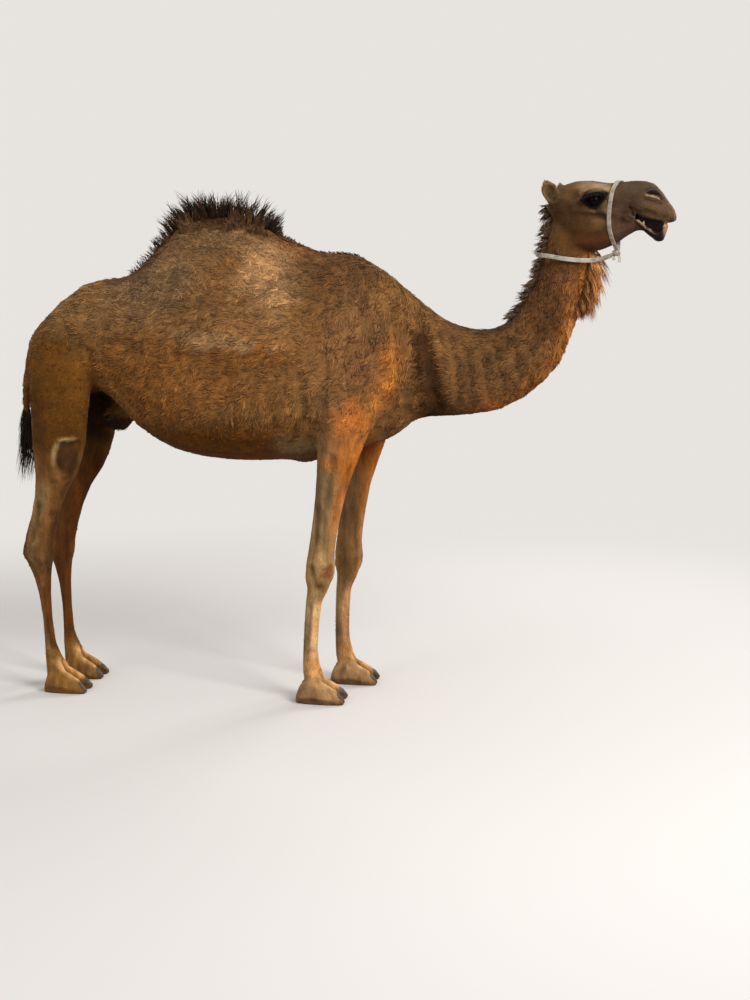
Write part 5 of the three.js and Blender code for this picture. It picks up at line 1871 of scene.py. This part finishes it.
long_hair("nape_mane", roots - ups, start, end,
          unit(np.cross(start, rng.normal(0, 1, (n, 3)))), maps, lengths,
          rng.uniform(2.0, 3.4, n), swings(n, 1.0, 4.0, 1.0), colours, 4, "mane", long_look,
          inward * 0.8)

# Beard: long soft russet hair under the jaw and down the front of the upper neck.
throat_line = rounded(THROAT[6:], 12)
gap, along = distance_to(throat_line, m)
front = (gap < 52) & (m[:, 2] > 1545) & (face_edges[:, 0] > 0) & (m[:, 2] < 1800)
front &= ~(head_faces & (h[:, 0] > 100))
roots, ups, maps = roots_on(at_faces(front), 4.6)[:3]
n = len(roots)
chance, inward = locks_of(roots, 19, 5)
depth = ramp(roots[:, 2], 1545, 1650) * (1 - 0.3 * ramp(roots[:, 2], 1740, 1800))
depth *= 1 - 0.35 * ramp(np.abs(roots[:, 1]), 20, 60)
lengths = (46 + 74 * depth) * np.exp(0.14 * chance[:, 0] + rng.normal(0, 0.1, n))
lean = np.stack([0.22 * chance[:, 1], 0.3 * chance[:, 2] + roots[:, 1] / 120, 0 * depth], 1)
start = unit(ups * 0.55 + (0.25, 0, -0.65) + lean * 0.5 + rng.normal(0, 0.08, (n, 3)))
end = unit(np.array([-0.04, 0, -1.0]) + lean + rng.normal(0, 0.07, (n, 3)))
gold = (0.5 + 0.5 * chance[:, 3:4]).clip(0, 1)
beard_tones = tone("a06434") + (tone("dd9c5c") - tone("a06434")) * gold
colours = uneven_colours(beard_tones * (0.7 + 0.3 * ramp(roots[:, 0], 1480, 1545))[:, None], 0.16)
long_hair("beard_hair", roots - ups, start, end, ups, maps, lengths, rng.uniform(1.9, 3.3, n),
          (rng.uniform(2, 8, n), 1.2 + 0.3 * chance[:, 4], chance[:, 4] * 3), colours, 5, "beard",
          long_look, inward * 0.8, (0.7, 1.0, 1.35))

# Tail: a tassel of coarse black-brown hair from the lower half of the dock.
lower_dock = tail_faces & (m[:, 2] < 1160)
roots, ups, maps = roots_on(at_faces(lower_dock), 4.4)[:3]
n = len(roots)
drop = ramp(-roots[:, 2], -1150, -1000)
lengths = (110 + 150 * drop) * rng.uniform(0.75, 1.15, n)
start = unit(ups * 0.25 + (-0.05, 0, -1.0) + rng.normal(0, 0.08, (n, 3)))
end = unit(np.array([-0.16, 0, -1.0]) + rng.normal(0, 0.09, (n, 3)) - ups * 0.08)
colours = uneven_colours(np.tile(tone("2c1c13"), (n, 1)), 0.3)
long_hair("tail_tassel", roots - ups, start, end, ups, maps, lengths, rng.uniform(1.8, 3.0, n),
          swings(n, 1.0, 6.0, 1.2), colours, 5, "tail_tuft", long_look)

# Lashes: long dark hairs that slant forward and down from the edge of each upper lid.
for side, word in ((-1, "right"), (1, "left")):
    lid = [(104, 102, 2), (120, 106, 16), (142, 108, 24), (164, 102, 22), (182, 88, 12)]
    edge = rounded(laid_on(rounded(from_head([(s, side * y, z) for s, y, z in lid]), 10)), 8)
    edge = edge[::6]
    roots = (edge[:, None] + rng.normal(0, 0.9, (len(edge), 2, 3))).reshape(-1, 3)
    n = len(roots)
    t = np.repeat(np.linspace(-1, 1, len(edge)), 2)
    out = from_head([(0, side, 0)])[0] - np.array(HEAD_PLACE)
    ahead = from_head([(1, 0, 0)])[0] - np.array(HEAD_PLACE)
    start = unit(out + ahead * (0.5 * t[:, None]) + (0, 0, -0.35) + rng.normal(0, 0.08, (n, 3)))
    end = unit(out * 0.5 + ahead * (0.8 * t[:, None] + 0.25) + (0, 0, -0.75)
               + rng.normal(0, 0.08, (n, 3)))
    ups = np.tile((0.0, 0.0, 1.0), (n, 1))
    nearest = ((clay[:, None] - roots[None, ::12]) ** 2).sum(2).argmin(0).repeat(12)[:n]
    corner = np.array([np.flatnonzero(corner_points == point)[0] for point in np.unique(nearest)])
    lookup = dict(zip(np.unique(nearest).tolist(), map_flat.reshape(-1, 2)[corner]))
    maps = np.array([lookup[point] for point in nearest.tolist()], float)
    lengths = rng.uniform(22, 34, n) * (1 - 0.25 * t * t)
    long_hair(f"lashes_{word}", roots, start, end, ups, maps, lengths, rng.uniform(0.9, 1.4, n),
              swings(n, 0.2, 1.0, 0.5), np.tile(tone("120b07"), (n, 1)), 4, None, long_look)
